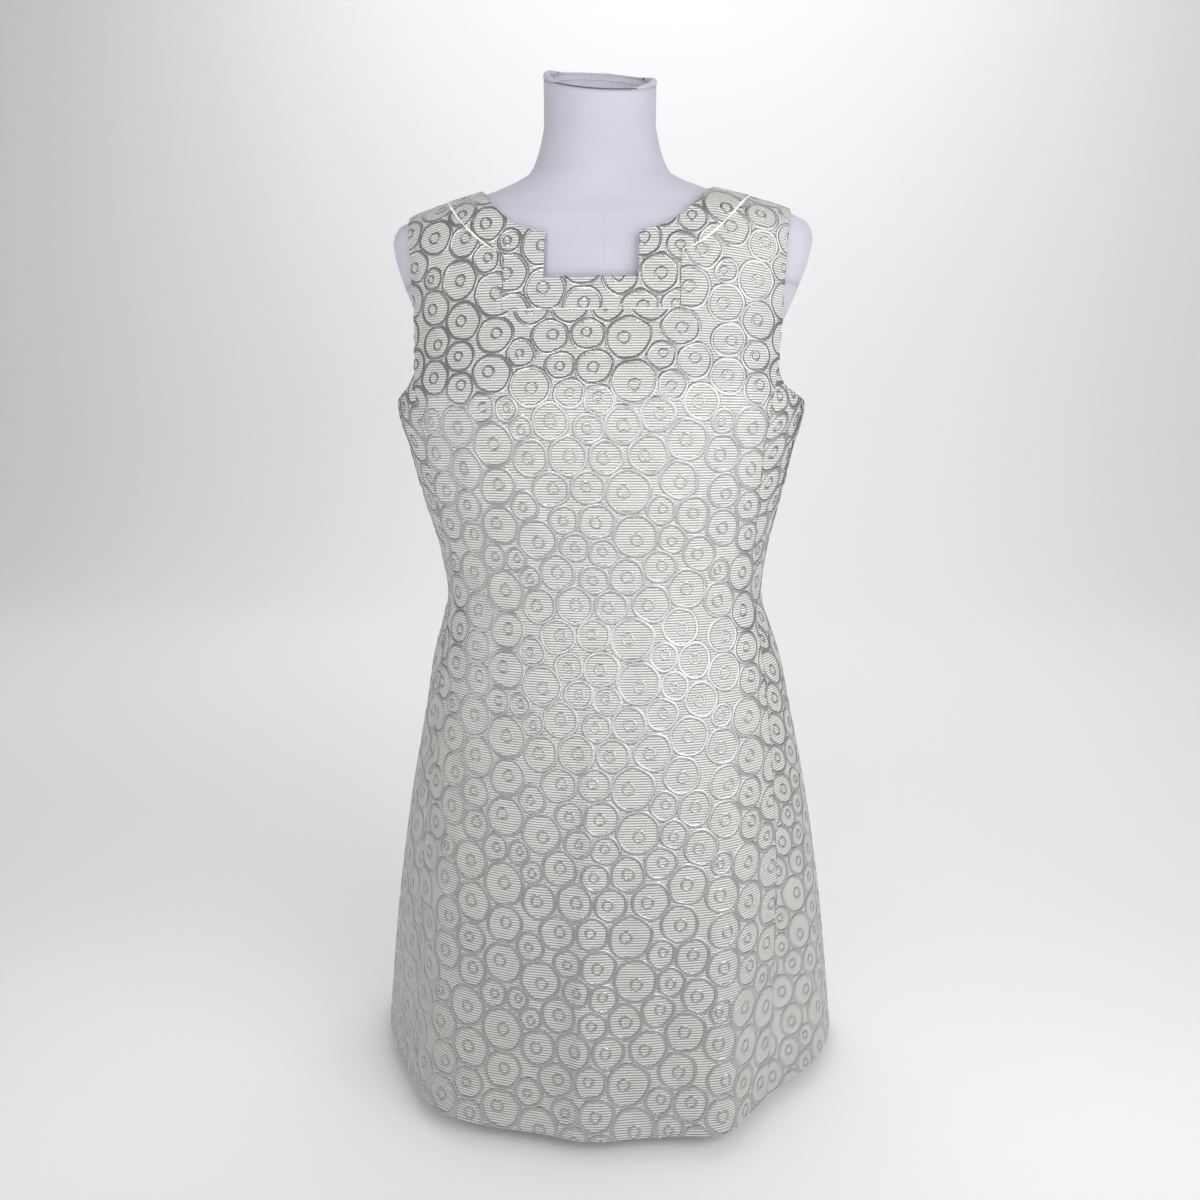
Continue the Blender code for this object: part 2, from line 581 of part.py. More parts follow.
def zip_slider(finish: bpy.types.Material) -> None:
    """The slider's face plate and the bridge that the pull's loop goes under."""
    plate = block("zip_slider", PLATE, (0.0, 0.0, SEAM_GAP + PLATE[2] / 2), finish)
    reach = (BRIDGE_LENGTH - BRIDGE_LEG) / 2
    leg_height = BRIDGE_TOP - BRIDGE_FOOT
    crown_height = BRIDGE_TOP - BRIDGE_HOLE_TOP
    joined = [block(f"bridge_leg_{n}", (BRIDGE_WIDTH, BRIDGE_LEG, leg_height),
                    (0.0, side * reach, BRIDGE_FOOT + leg_height / 2), finish) for n, side in enumerate((-1, 1))]
    joined.append(block("bridge_crown", (BRIDGE_WIDTH * CROWN_SHARE, BRIDGE_LENGTH * CROWN_SHARE, crown_height * CROWN_SHARE),
                        (0.0, 0.0, BRIDGE_HOLE_TOP + crown_height / 2), finish))
    for piece in joined:
        bpy.data.collections["sheath_dress"].objects.unlink(piece)
        bpy.data.collections["cutters"].objects.link(piece)
        piece.hide_render = True
        piece.display_type = "WIRE"
        piece.parent = plate
        union = plate.modifiers.new(piece.name, "BOOLEAN")
        union.operation = "UNION"
        union.object = piece
    plate.matrix_world = slider_frame()


def zip_pull(finish: bpy.types.Material) -> None:
    """The pull tab, stamped from sheet: a window that the bridge passes through, then a drop-shaped grip."""
    half_bar = PULL_THICK / 2
    # Half the outline from the hinge bar down to the foot: across, up
    side = ((0.0024, half_bar), (0.0026, -0.0004), (0.0026, -0.0040), (0.0018, -0.0065), (0.0017, -0.0090),
            (0.0024, -0.0135), (0.0030, -0.0180), (0.0029, -0.0215), (0.0021, -0.0238), (0.0008, -0.0248))
    outline = [(x, y) for x, y in side] + [(-x, y) for x, y in side[::-1]]
    window = [(PULL_WINDOW_HALF, -half_bar), (-PULL_WINDOW_HALF, -half_bar),
              (-PULL_WINDOW_HALF, PULL_WINDOW_FOOT), (PULL_WINDOW_HALF, PULL_WINDOW_FOOT)]
    shape = bpy.data.curves.new("zip_pull", "CURVE")
    shape.dimensions = "2D"
    shape.fill_mode = "BOTH"
    shape.extrude = half_bar
    for loop in (outline, window):
        spline = shape.splines.new("POLY")
        spline.points.add(len(loop) - 1)
        spline.use_cyclic_u = True
        for point, (x, y) in zip(spline.points, loop):
            point.co = (x, y, 0.0, 1.0)
    pull = add_object("zip_pull", shape, finish)
    pull.matrix_world = slider_frame() @ Matrix.Translation((0.0, -HINGE_DROP, HINGE_RISE))


def neck_cut(points: np.ndarray) -> np.ndarray:
    """Height of the neck's sloping top over each point."""
    front, back = form.size("front", np.array(RIM_BACK)), form.size("back", np.array(RIM_BACK))
    return RIM_FRONT + (RIM_BACK - RIM_FRONT) * (points[:, 1] + front) / (front + back)


def form_torso(finish: bpy.types.Material) -> None:
    """Neck, shoulder stubs, chest, waist and hips in one smooth body, with a pocket down the neck."""
    stops = np.array([section.height for section in FORM])
    heights = np.concatenate([stops[:1]] + [
        np.linspace(low, high, math.ceil((high - low) / FORM_STEP) + 1)[1:] for low, high in zip(stops, stops[1:])])
    angle = np.arange(FORM_SIDES) * 2 * math.pi / FORM_SIDES
    rings = [form.ring(angle, np.full(FORM_SIDES, height)) for height in heights]
    neck = rings[-1]
    for share in (0.5, 1.0):
        rings.append(neck + np.stack([0 * angle, 0 * angle, (neck_cut(neck) - neck[:, 2]) * share], axis=1))
    inner_share = 1 - NECK_WALL / NECK_HALF_TOP
    inner = neck * (inner_share, inner_share, 1.0)
    rings.append(np.column_stack([inner[:, :2], neck_cut(inner)]))
    floor = neck * (POCKET_TAPER, POCKET_TAPER, 1.0)
    rings.append(np.column_stack([floor[:, :2], np.full(FORM_SIDES, POCKET_FLOOR)]))
    points = np.concatenate(rings) + PLACE
    index = np.arange(len(points)).reshape(len(rings), FORM_SIDES)
    faces = quads(np.column_stack([index, index[:, :1]]), True)
    faces += [tuple(int(i) for i in index[0]), tuple(int(i) for i in index[-1][::-1])]
    torso = add_object("form_torso", mesh_of("form_torso", points, faces), finish)
    torso.data.set_sharp_from_angle(angle=CREASE_ANGLE)


def form_neck_rim(finish: bpy.types.Material) -> None:
    """The rolled edge of the cover, round the top of the neck."""
    angle = np.arange(RIM_SIDES) * 2 * math.pi / RIM_SIDES
    middle_share = 1 - NECK_WALL / NECK_HALF_TOP / 2
    ring = form.ring(angle, np.full(RIM_SIDES, RIM_BACK)) * (middle_share, middle_share, 1.0)
    shape = bpy.data.curves.new("form_neck_rim", "CURVE")
    shape.dimensions = "3D"
    shape.bevel_depth = RIM_RADIUS
    shape.bevel_resolution = 2
    spline = shape.splines.new("POLY")
    spline.points.add(RIM_SIDES - 1)
    spline.use_cyclic_u = True
    lift = (RIM_RADIUS + SEAM_GAP) * math.hypot(1.0, (RIM_BACK - RIM_FRONT) / (2 * NECK_HALF_TOP))
    ring[:, 2] = neck_cut(ring) + lift
    for point, place in zip(spline.points, ring + PLACE):
        point.co = (*place, 1.0)
    add_object("form_neck_rim", shape, finish)


def turned(name: str, profile: list, finish: bpy.types.Material) -> None:
    """A round piece from its profile of (radius, height), listed down its outer side."""
    mesh = mesh_of(name, np.array([(radius, 0.0, height) for radius, height in profile]), [])
    mesh.edges.add(len(profile) - 1)
    mesh.edges.foreach_set("vertices", np.stack([np.arange(len(profile) - 1), np.arange(1, len(profile))], 1).ravel())
    made = add_object(name, mesh, finish)
    made.location = (PLACE[0], PLACE[1] + STAND_Y, 0.0)
    screw = made.modifiers.new("Turn", "SCREW")
    screw.steps = screw.render_steps = ROUND_STEPS
    screw.use_merge_vertices = True
    screw.merge_threshold = 1.0e-5


def stand(metal: bpy.types.Material) -> None:
    """A round base, and a post with a flange that the form is screwed down on."""
    turned("form_base", [(0.0, BASE_HEIGHT), (BASE_RADIUS - BASE_EDGE, BASE_HEIGHT),
                         (BASE_RADIUS, BASE_HEIGHT - BASE_EDGE), (BASE_RADIUS, 0.0), (0.0, 0.0)], metal)
    foot = BASE_HEIGHT + SEAM_GAP
    top = HEM_HEIGHT + FORM[0].height - SEAM_GAP
    turned("form_post", [(0.0, top), (FLANGE_RADIUS, top), (FLANGE_RADIUS, top - FLANGE_HEIGHT),
                         (POST_RADIUS, top - FLANGE_HEIGHT), (POST_RADIUS, foot), (0.0, foot)], metal)


def main() -> None:
    for old in list(bpy.data.objects):
        bpy.data.objects.remove(old)
    for name in ("sheath_dress", "cutters"):
        bpy.context.scene.collection.children.link(bpy.data.collections.new(name))
    bpy.data.collections["cutters"].hide_render = True
    brocade = [material(f"brocade_{n}", (0.74, 0.72, 0.67), 0.6) for n in range(6)]
    front_panel(brocade[0])
    back_panel("back_panel_left", 1, brocade[1])
    back_panel("back_panel_right", -1, brocade[2])
    neck_band_front(brocade[3])
    neck_band_back("neck_band_back_left", 1, brocade[4])
    neck_band_back("neck_band_back_right", -1, brocade[5])
    zip_tape(material("zip_tape_cloth", (0.80, 0.79, 0.76), 0.8))
    zip_slider(material("zip_metal", (0.78, 0.78, 0.80), 0.3, 1.0))
    zip_pull(material("pull_metal", (0.78, 0.78, 0.80), 0.3, 1.0))
    form_torso(material("jersey", (0.66, 0.66, 0.76), 0.9))
    form_neck_rim(material("jersey_rim", (0.70, 0.70, 0.78), 0.9))
    stand(material("stand_steel", (0.60, 0.60, 0.62), 0.35, 1.0))


main()
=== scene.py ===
"""The look of a sleeveless brocade sheath dress on its limbless dress form.

Lengths are in metres. The wearer's front faces -Y and the wearer's left is +X. Cloth is a thin shell on the
same sections as the solids; its ring pattern is raised ribbon laid out flat and then placed on the cloth.
"""
from __future__ import annotations

import json
import logging
import math
from dataclasses import dataclass, field
from enum import Enum
from typing import NamedTuple, Sequence, Union

import bpy
import numpy as np
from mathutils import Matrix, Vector

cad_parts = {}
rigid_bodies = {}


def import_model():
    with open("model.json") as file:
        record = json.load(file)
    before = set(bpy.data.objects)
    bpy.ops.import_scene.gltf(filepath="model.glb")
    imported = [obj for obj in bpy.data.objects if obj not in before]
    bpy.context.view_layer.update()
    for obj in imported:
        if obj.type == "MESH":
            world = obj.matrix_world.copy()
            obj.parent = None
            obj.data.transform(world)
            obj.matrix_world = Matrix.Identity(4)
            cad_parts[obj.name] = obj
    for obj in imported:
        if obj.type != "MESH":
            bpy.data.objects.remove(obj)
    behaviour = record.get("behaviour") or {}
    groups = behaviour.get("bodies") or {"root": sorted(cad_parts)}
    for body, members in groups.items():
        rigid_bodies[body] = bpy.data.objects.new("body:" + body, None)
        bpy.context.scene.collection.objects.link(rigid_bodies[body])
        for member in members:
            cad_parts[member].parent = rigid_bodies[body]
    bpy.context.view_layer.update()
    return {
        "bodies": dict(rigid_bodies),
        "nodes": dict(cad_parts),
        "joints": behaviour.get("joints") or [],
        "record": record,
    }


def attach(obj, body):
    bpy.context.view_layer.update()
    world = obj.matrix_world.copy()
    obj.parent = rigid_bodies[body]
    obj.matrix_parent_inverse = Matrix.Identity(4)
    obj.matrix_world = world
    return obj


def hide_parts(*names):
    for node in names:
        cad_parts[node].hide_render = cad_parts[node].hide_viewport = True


log = logging.getLogger("sheath_dress")

BODY = "dress_and_form"
HEM_HEIGHT = 0.016
PLACE = np.array([-0.0072, 0.0270, HEM_HEIGHT])    # the figure's centre line at the hem

# Cut of the dress, as heights above the hem and distances from the centre line
WALL = 0.0016            # brocade with the interlining that is fused to it
REST_GAP = 0.0008        # air between the cloth and the form where the cloth rests
BAND_FOOT = 0.716        # seam under the neck band
NECK_HALF = 0.105        # centre to the neck end of the shoulder
BAND_HALF = 0.137        # centre to the band's outer seam on the shoulder
SHOULDER_HALF = 0.171    # centre to the arm end of the shoulder
SHOULDER_TOP = 0.8297    # height of the shoulder line at its neck end
SHOULDER_END = 0.8105    # and at its arm end
STUB_HEIGHT = 0.789      # the widest line of the form's arm stubs
NOTCH_HALF = 0.040       # square notch in the front neckline
NOTCH_FOOT = 0.744
NOTCH_TOP = 0.783
BAND_CORNER_HALF = 0.0755
BAND_CORNER_HEIGHT = 0.766
BACK_NECK_HEIGHT = 0.812
BAND_WIDTH = 0.036
BAND_LIFT = 0.0006       # the band's turned edge stands over the panels
SEAM_DRAW = 0.0002       # how far a seam's edge is drawn back, into a groove
UNDERARM = 0.643
SEAM_TOP = 0.666         # where the side seam meets the armhole
SWAY = 0.0072            # how far the skirt hangs towards +X
SWAY_TOP = 0.64
SWAY_FULL = 0.30
SCOOP_CURVE = 2.0        # powers of the curves that rise to the shoulder: 1 is straight
BAND_SEAM_CURVE = 1.5
BACK_NECK_CURVE = 2.2
FOLD_GROWTH = 1.3        # how fast the folds deepen down the skirt
FOLD_FADE = 6            # and how late they die away towards the widest line
SIDE_CROWDING = 1.25     # how much closer the columns lie beside the side seam
ARMHOLE_BOW = 3          # how late across the back the armhole's curve is felt
PROBE = 2.0e-5           # step for slopes of the surface
SAMPLES = 400            # places on a curve that is read between them
QUARTER = math.pi / 2
FULL_TURN = 2 * math.pi
CHUNK = 4000             # flat places that are compared with an outline at once


class Side(Enum):
    """Which half of the figure a piece lies on."""

    FRONT = -1
    BACK = 1


class Section(NamedTuple):
    """One outline of a body, at a height above the hem."""

    height: float
    half_width: float
    front: float
    back: float
    middle: float
    power: float


DRESS = (
    Section(0.000, 0.2345, 0.187, 0.133, 0.020, 1.85),
    Section(0.130, 0.2193, 0.166, 0.124, 0.015, 1.90),
    Section(0.241, 0.2018, 0.146, 0.116, 0.010, 1.95),
    Section(0.348, 0.1798, 0.126, 0.105, 0.005, 2.05),
    Section(0.400, 0.1690, 0.116, 0.095, 0.003, 2.10),
    Section(0.441, 0.1560, 0.109, 0.085, 0.000, 2.10),
    Section(0.461, 0.1513, 0.107, 0.081, 0.000, 2.10),
    Section(0.501, 0.1560, 0.109, 0.081, 0.000, 2.10),
    Section(0.560, 0.1710, 0.117, 0.087, 0.000, 2.15),
    Section(0.600, 0.1800, 0.122, 0.092, 0.000, 2.20),
    Section(0.639, 0.1893, 0.126, 0.096, 0.000, 2.25),
    Section(0.680, 0.1815, 0.113, 0.097, 0.000, 2.30),
    Section(BAND_FOOT, 0.1795, 0.099, 0.093, 0.000, 2.30),
    Section(NOTCH_FOOT, 0.1845, 0.090, 0.089, 0.000, 2.30),
    Section(0.769, 0.1910, 0.082, 0.083, 0.000, 2.30),
    Section(STUB_HEIGHT, 0.1945, 0.075, 0.077, 0.000, 2.30),
    Section(0.801, 0.1895, 0.071, 0.072, 0.000, 2.25),
    Section(SHOULDER_END, SHOULDER_HALF, 0.067, 0.067, 0.000, 2.15),
    Section(0.8162, 0.1540, 0.065, 0.063, 0.000, 2.05),
    Section(0.8210, BAND_HALF, 0.063, 0.059, 0.000, 2.00),
    Section(SHOULDER_TOP, NECK_HALF, 0.060, 0.054, 0.000, 1.90),
    Section(0.846, 0.0665, 0.057, 0.050, 0.000, 1.90),
)
FORM = (
    Section(0.200, 0.1560, 0.092, 0.086, 0.000, 2.20),
    Section(0.212, 0.1660, 0.101, 0.095, 0.000, 2.20),
    Section(0.290, 0.1720, 0.108, 0.099, 0.000, 2.20),
    Section(0.380, 0.1580, 0.101, 0.084, 0.000, 2.15),
    Section(0.461, 0.1370, 0.093, 0.070, 0.000, 2.10),
    Section(0.540, 0.1500, 0.103, 0.077, 0.000, 2.15),
    Section(0.639, 0.1660, 0.119, 0.089, 0.000, 2.25),
    Section(0.680, 0.1640, 0.107, 0.091, 0.000, 2.30),
    Section(0.710, 0.1690, 0.096, 0.088, 0.000, 2.30),
    Section(0.728, 0.1755, 0.090, 0.086, 0.000, 2.30),
    Section(0.746, 0.1830, 0.084, 0.083, 0.000, 2.30),
    Section(0.769, 0.1910, 0.078, 0.079, 0.000, 2.30),
    Section(STUB_HEIGHT, 0.1945, 0.071, 0.073, 0.000, 2.30),
    Section(0.8008, 0.1895, 0.068, 0.068, 0.000, 2.25),
    Section(0.8101, 0.1710, 0.064, 0.063, 0.000, 2.15),
    Section(0.8158, 0.1540, 0.062, 0.060, 0.000, 2.05),
    Section(0.8206, 0.1370, 0.061, 0.056, 0.000, 2.00),
    Section(0.8293, 0.1050, 0.059, 0.052, 0.000, 1.90),
    Section(0.8456, 0.0665, 0.057, 0.049, 0.000, 1.90),
    Section(0.856, 0.0598, 0.055, 0.048, 0.000, 1.95),
    Section(0.868, 0.0555, 0.053, 0.047, 0.000, 2.00),
    Section(0.887, 0.0510, 0.051, 0.047, 0.000, 2.00),
)


class EdgePoint(NamedTuple):
    """A place on a cut edge: its height above the hem and its distance from the centre line."""

    height: float
    x: float


SIDE_SEAM = (
    EdgePoint(0.000, 0.1640), EdgePoint(0.100, 0.1670), EdgePoint(0.200, 0.1665), EdgePoint(0.295, 0.1600),
    EdgePoint(0.400, 0.1500), EdgePoint(0.461, 0.1440), EdgePoint(0.520, 0.1430), EdgePoint(0.600, 0.1490),
    EdgePoint(0.640, 0.1540), EdgePoint(SEAM_TOP, 0.1600),
)
FRONT_ARMHOLE = (
    EdgePoint(UNDERARM, 0.1900), EdgePoint(0.646, 0.1840), EdgePoint(0.652, 0.1735), EdgePoint(0.659, 0.1655),
    EdgePoint(SEAM_TOP, 0.1600), EdgePoint(0.680, 0.1608), EdgePoint(0.716, 0.1635), EdgePoint(0.750, 0.1650),
    EdgePoint(0.790, 0.1675), EdgePoint(SHOULDER_END, SHOULDER_HALF),
)
BACK_ARMHOLE = (
    EdgePoint(UNDERARM, 0.1900), EdgePoint(0.650, 0.1845), EdgePoint(0.660, 0.1755), EdgePoint(0.673, 0.1700),
    EdgePoint(0.692, 0.1675), EdgePoint(0.716, 0.1655), EdgePoint(0.750, 0.1660), EdgePoint(0.790, 0.1680),
    EdgePoint(SHOULDER_END, SHOULDER_HALF),
)


def smooth_curve(at: np.ndarray, stops: np.ndarray, values: np.ndarray) -> np.ndarray:
    """A monotone cubic through stops, with harmonic-mean tangents, so that it never overshoots them.

    Args:
        at: where to read the curve.
        stops: rising places of the known values.
        values: the known values.

    Returns:
        The value at each place of at.
    """
    step = np.diff(stops)
    slope = np.diff(values) / step
    before, after = slope[:-1], slope[1:]
    total = np.where(before + after == 0.0, 1.0, before + after)
    inner = np.where(before * after > 0.0, 2 * before * after / total, 0.0)
    tangent = np.concatenate([slope[:1], inner, slope[-1:]])
    at = np.clip(at, stops[0], stops[-1])
    cell = np.clip(np.searchsorted(stops, at, side="right") - 1, 0, len(step) - 1)
    t = (at - stops[cell]) / step[cell]
    left = values[cell] * (1 + 2 * t) * (1 - t) ** 2 + tangent[cell] * step[cell] * t * (1 - t) ** 2
    return left + values[cell + 1] * t * t * (3 - 2 * t) - tangent[cell + 1] * step[cell] * t * t * (1 - t)


def along(table: Sequence, name: str, height: np.ndarray) -> np.ndarray:
    """Reads a named column of a table at any height."""
    stops = np.array([row.height for row in table])
    return smooth_curve(np.asarray(height, float), stops, np.array([getattr(row, name) for row in table]))


def between(table: np.ndarray, row: np.ndarray, column: np.ndarray) -> np.ndarray:
    """Reads a table between its four nearest entries, weighting each by how near it is.

    Args:
        table: (rows, columns, n) values.
        row: row numbers, with fractions.
        column: column numbers, with fractions.

    Returns:
        The values, ending in an axis of n.
    """
    i = np.clip(row.astype(int), 0, table.shape[0] - 2)
    j = np.clip(column.astype(int), 0, table.shape[1] - 2)
    s, t = (row - i)[..., None], (column - j)[..., None]
    return ((table[i, j] * (1 - t) + table[i, j + 1] * t) * (1 - s)
            + (table[i + 1, j] * (1 - t) + table[i + 1, j + 1] * t) * s)


@dataclass(frozen=True)
class Figure:
    """A closed body: at each height its outline is |x / half|^p + |(y - middle) / depth|^p = 1."""

    sections: tuple

    def size(self, name: str, height: np.ndarray) -> np.ndarray:
        """A size of the outline at each height."""
        return along(self.sections, name, height)

    def depth(self, side: np.ndarray, height: np.ndarray) -> np.ndarray:
        """Half-depth in front (side below 0) or behind, from the widest line."""
        middle = self.size("middle", height)
        return np.where(side < 0, self.size("front", height) + middle, self.size("back", height) - middle)

    def level(self, points: np.ndarray) -> np.ndarray:
        """1 on the surface and more outside it.

        Args:
            points: (..., 3) places in the figure's frame.

        Returns:
            One number for each place.
        """
        x, height = points[..., 0], points[..., 2]
        offset = points[..., 1] - self.size("middle", height)
        power = self.size("power", height)
        across = (np.abs(x) / self.size("half_width", height)) ** power
        return across + (np.abs(offset) / self.depth(offset, height)) ** power

    def outward(self, points: np.ndarray) -> np.ndarray:
        """The unit slope of level, which leaves the surface squarely.

        Args:
            points: (..., 3) places in the figure's frame.

        Returns:
            Unit vectors, ending in an axis of 3.
        """
        ways = PROBE * np.eye(3)
        slope = np.stack([self.level(points + way) - self.level(points - way) for way in ways], axis=-1)
        return slope / np.linalg.norm(slope, axis=-1, keepdims=True)

    def on_side(self, x: np.ndarray, height: np.ndarray, side: Side) -> np.ndarray:
        """The surface straight in front of or behind the place (x, height).

        Args:
            x: distances from the centre line.
            height: heights above the hem.
            side: the front or the back.

        Returns:
            (..., 3) places in the figure's frame.
        """
        power = self.size("power", height)
        inside = np.clip(1 - (np.abs(x) / self.size("half_width", height)) ** power, 0.0, None)
        depth = self.depth(np.full_like(x, side.value), height)
        y = self.size("middle", height) + side.value * depth * inside ** (1 / power)
        return np.stack([x, y, height], axis=-1)

    def ring(self, angle: np.ndarray, height: np.ndarray) -> np.ndarray:
        """A point by angle: 0 at the centre back, a quarter turn at the left side, a half turn in front.

        Args:
            angle: the angle of each point.
            height: heights above the hem.

        Returns:
            (..., 3) places in the figure's frame.
        """
        power = self.size("power", height)
        across, fore = np.sin(angle), np.cos(angle)
        x = self.size("half_width", height) * np.sign(across) * np.abs(across) ** (2 / power)
        out = np.sign(fore) * np.abs(fore) ** (2 / power)
        return np.stack([x, self.size("middle", height) + self.depth(fore, height) * out, height], axis=-1)

    def angle_of(self, x: np.ndarray, height: np.ndarray, side: Side) -> np.ndarray:
        """The angle whose ring point has this x, on the front or the back.

        Args:
            x: distances from the centre line.
            height: heights above the hem.
            side: the front or the back.

        Returns:
            The angles.
        """
        ratio = np.clip(x / self.size("half_width", height), 0.0, 1.0)
        turn = np.arcsin(ratio ** (self.size("power", height) / 2))
        return turn if side is Side.BACK else math.pi - turn


DRESS_FIGURE = Figure(DRESS)
FORM_FIGURE = Figure(FORM)


def shoulder_line(x: np.ndarray) -> np.ndarray:
    """Height of the shoulder line over x, level inside the neck's width."""
    heights = np.linspace(SHOULDER_TOP, STUB_HEIGHT, SAMPLES)
    return np.interp(np.abs(x), DRESS_FIGURE.size("half_width", heights), heights)


def climb(x: np.ndarray, height: np.ndarray) -> np.ndarray:
    """0 on the band's foot and 1 on the shoulder line: 1 - sqrt(what is left of the rise)."""
    top = shoulder_line(x)
    return 1 - np.sqrt(np.clip((top - height) / (top - BAND_FOOT), 0.0, 1.0))


def climbed(x: np.ndarray, share: np.ndarray) -> np.ndarray:
    """The height at a share of the climb."""
    top = shoulder_line(x)
    return top - (top - BAND_FOOT) * (1 - share) ** 2


def x_at(x: np.ndarray, height: np.ndarray, shares: np.ndarray) -> np.ndarray:
    """Where a rising edge, given by many places, passes each share of the climb."""
    return np.interp(shares, climb(x, height), x)


def armhole_x(table: Sequence, shares: np.ndarray) -> np.ndarray:
    """Where the armhole's edge passes each share of the climb."""
    heights = np.linspace(BAND_FOOT, table[-1].height, SAMPLES)
    return x_at(along(table, "x", heights), heights, shares)


def rise_to_shoulder(start: tuple, end_half: float, power: float) -> tuple:
    """Many places on an edge that curves up to the shoulder line as a power of its run.

    Args:
        start: (x, height) of its lower end.
        end_half: x of its upper end.
        power: 1 for a straight edge, more for a later rise.

    Returns:
        x and height of each place.
    """
    run = np.linspace(0.0, 1.0, SAMPLES)
    top = shoulder_line(np.array([end_half]))[0]
    return start[0] + (end_half - start[0]) * run, start[1] + (top - start[1]) * run ** power


class Fold(NamedTuple):
    """A soft fold that dies out upwards: a bell across, a power of the way down along."""

    side: Side
    hem_x: float
    top_x: float
    top: float
    spread: float
    rise: float


FOLDS = (
    Fold(Side.FRONT, 0.112, 0.118, 0.42, 0.026, 0.0130),
    Fold(Side.FRONT, -0.136, -0.122, 0.46, 0.058, 0.0190),
    Fold(Side.FRONT, 0.182, 0.165, 0.38, 0.034, -0.0120),
    Fold(Side.FRONT, -0.176, -0.160, 0.40, 0.018, -0.0040),
    Fold(Side.FRONT, 0.045, 0.040, 0.34, 0.026, -0.0030),
    Fold(Side.FRONT, -0.048, -0.045, 0.30, 0.028, -0.0025),
    Fold(Side.BACK, 0.105, 0.100, 0.36, 0.034, 0.0070),
    Fold(Side.BACK, -0.112, -0.105, 0.38, 0.036, 0.0080),
    Fold(Side.BACK, 0.052, 0.050, 0.30, 0.028, -0.0030),
    Fold(Side.BACK, -0.050, -0.050, 0.28, 0.026, -0.0030),
)


class Crease(NamedTuple):
    """A fine ridge or trough along a straight run from start to end, each (x, height above the hem).

    Across the run it is a bell, exp(-(distance / spread)^2), and along it sin^2(pi t^lean).
    """

    side: Side
    start: tuple
    end: tuple
    spread: float
    rise: float
    lean: float = 1.0

    def lift(self, x: np.ndarray, height: np.ndarray) -> np.ndarray:
        """The crease's own height over the cloth.

        Args:
            x: distances from the centre line.
            height: heights above the hem.

        Returns:
            The lift at each place.
        """
        run = np.subtract(self.end, self.start)
        length = float(np.hypot(*run))
        dx, dh = x - self.start[0], height - self.start[1]
        t = np.clip((dx * run[0] + dh * run[1]) / length ** 2, 0.0, 1.0)
        off = (dx * run[1] - dh * run[0]) / length
        return self.rise * np.exp(-(off / self.spread) ** 2) * np.sin(math.pi * t ** self.lean) ** 2


FRONT, BACK = Side.FRONT, Side.BACK
CREASES = (
    # the pressed line down the centre front, in three uneven stretches, and the troughs beside it
    Crease(FRONT, (-0.003, 0.43), (-0.009, 0.10), 0.0045, 0.0022, 0.8),
    Crease(FRONT, (-0.008, 0.26), (-0.012, -0.06), 0.0050, 0.0028, 1.2),
    Crease(FRONT, (-0.028, 0.36), (-0.034, -0.04), 0.016, -0.0024, 1.1),
    Crease(FRONT, (0.020, 0.34), (0.028, -0.05), 0.017, -0.0036, 1.2),
    Crease(FRONT, (0.060, 0.28), (0.072, -0.03), 0.014, -0.0016, 0.9),
    Crease(FRONT, (-0.075, 0.30), (-0.088, -0.03), 0.015, -0.0014, 1.3),
    # drag lines from the bust to the waist, and across it
    Crease(FRONT, (-0.128, 0.665), (-0.112, 0.50), 0.009, -0.0022, 0.9),
    Crease(FRONT, (-0.108, 0.640), (-0.098, 0.52), 0.008, 0.0013, 1.2),
    Crease(FRONT, (0.122, 0.650), (0.110, 0.49), 0.010, -0.0020, 1.1),
    Crease(FRONT, (0.104, 0.800), (0.107, 0.660), 0.008, -0.0016, 0.8),
    Crease(FRONT, (-0.118, 0.790), (-0.124, 0.690), 0.009, -0.0014, 1.1),
    Crease(FRONT, (0.030, 0.712), (0.033, 0.655), 0.006, -0.0009),
    Crease(FRONT, (-0.142, 0.470), (-0.070, 0.452), 0.008, -0.0012, 0.7),
    Crease(FRONT, (0.144, 0.452), (0.085, 0.440), 0.007, -0.0013, 0.8),
    Crease(FRONT, (0.135, 0.476), (0.060, 0.468), 0.009, 0.0009, 0.7),
    Crease(FRONT, (-0.138, 0.440), (-0.090, 0.415), 0.009, 0.0010, 0.8),
    # long ridges of the skirt
    Crease(FRONT, (0.128, 0.33), (0.146, 0.06), 0.011, 0.0018, 1.2),
    Crease(FRONT, (-0.132, 0.27), (-0.150, 0.01), 0.013, 0.0016, 0.9),
    # the same family of folds behind and at the sides
    Crease(BACK, (0.070, 0.560), (0.060, 0.400), 0.010, -0.0020, 0.9),
    Crease(BACK, (-0.074, 0.575), (-0.062, 0.410), 0.011, -0.0022, 1.1),
    Crease(BACK, (0.110, 0.470), (0.030, 0.452), 0.008, -0.0012, 0.8),
    Crease(BACK, (-0.118, 0.448), (-0.035, 0.462), 0.009, 0.0011, 0.9),
    Crease(BACK, (-0.100, 0.500), (-0.028, 0.486), 0.007, -0.0010, 1.1),
    Crease(BACK, (0.020, 0.300), (0.027, -0.05), 0.015, -0.0018, 1.2),
    Crease(BACK, (-0.026, 0.270), (-0.034, -0.04), 0.016, -0.0016, 0.9),
    Crease(BACK, (0.150, 0.330), (0.168, 0.03), 0.014, 0.0018, 1.1),
    Crease(BACK, (-0.148, 0.300), (-0.170, 0.00), 0.013, 0.0016, 0.9),
    Crease(BACK, (0.120, 0.760), (0.128, 0.650), 0.009, -0.0015, 0.9),
    Crease(BACK, (-0.116, 0.770), (-0.122, 0.640), 0.010, -0.0017, 1.1),
    Crease(BACK, (0.175, 0.620), (0.150, 0.500), 0.010, -0.0016, 1.0),
    Crease(BACK, (-0.176, 0.600), (-0.148, 0.480), 0.011, -0.0018, 1.0),
)


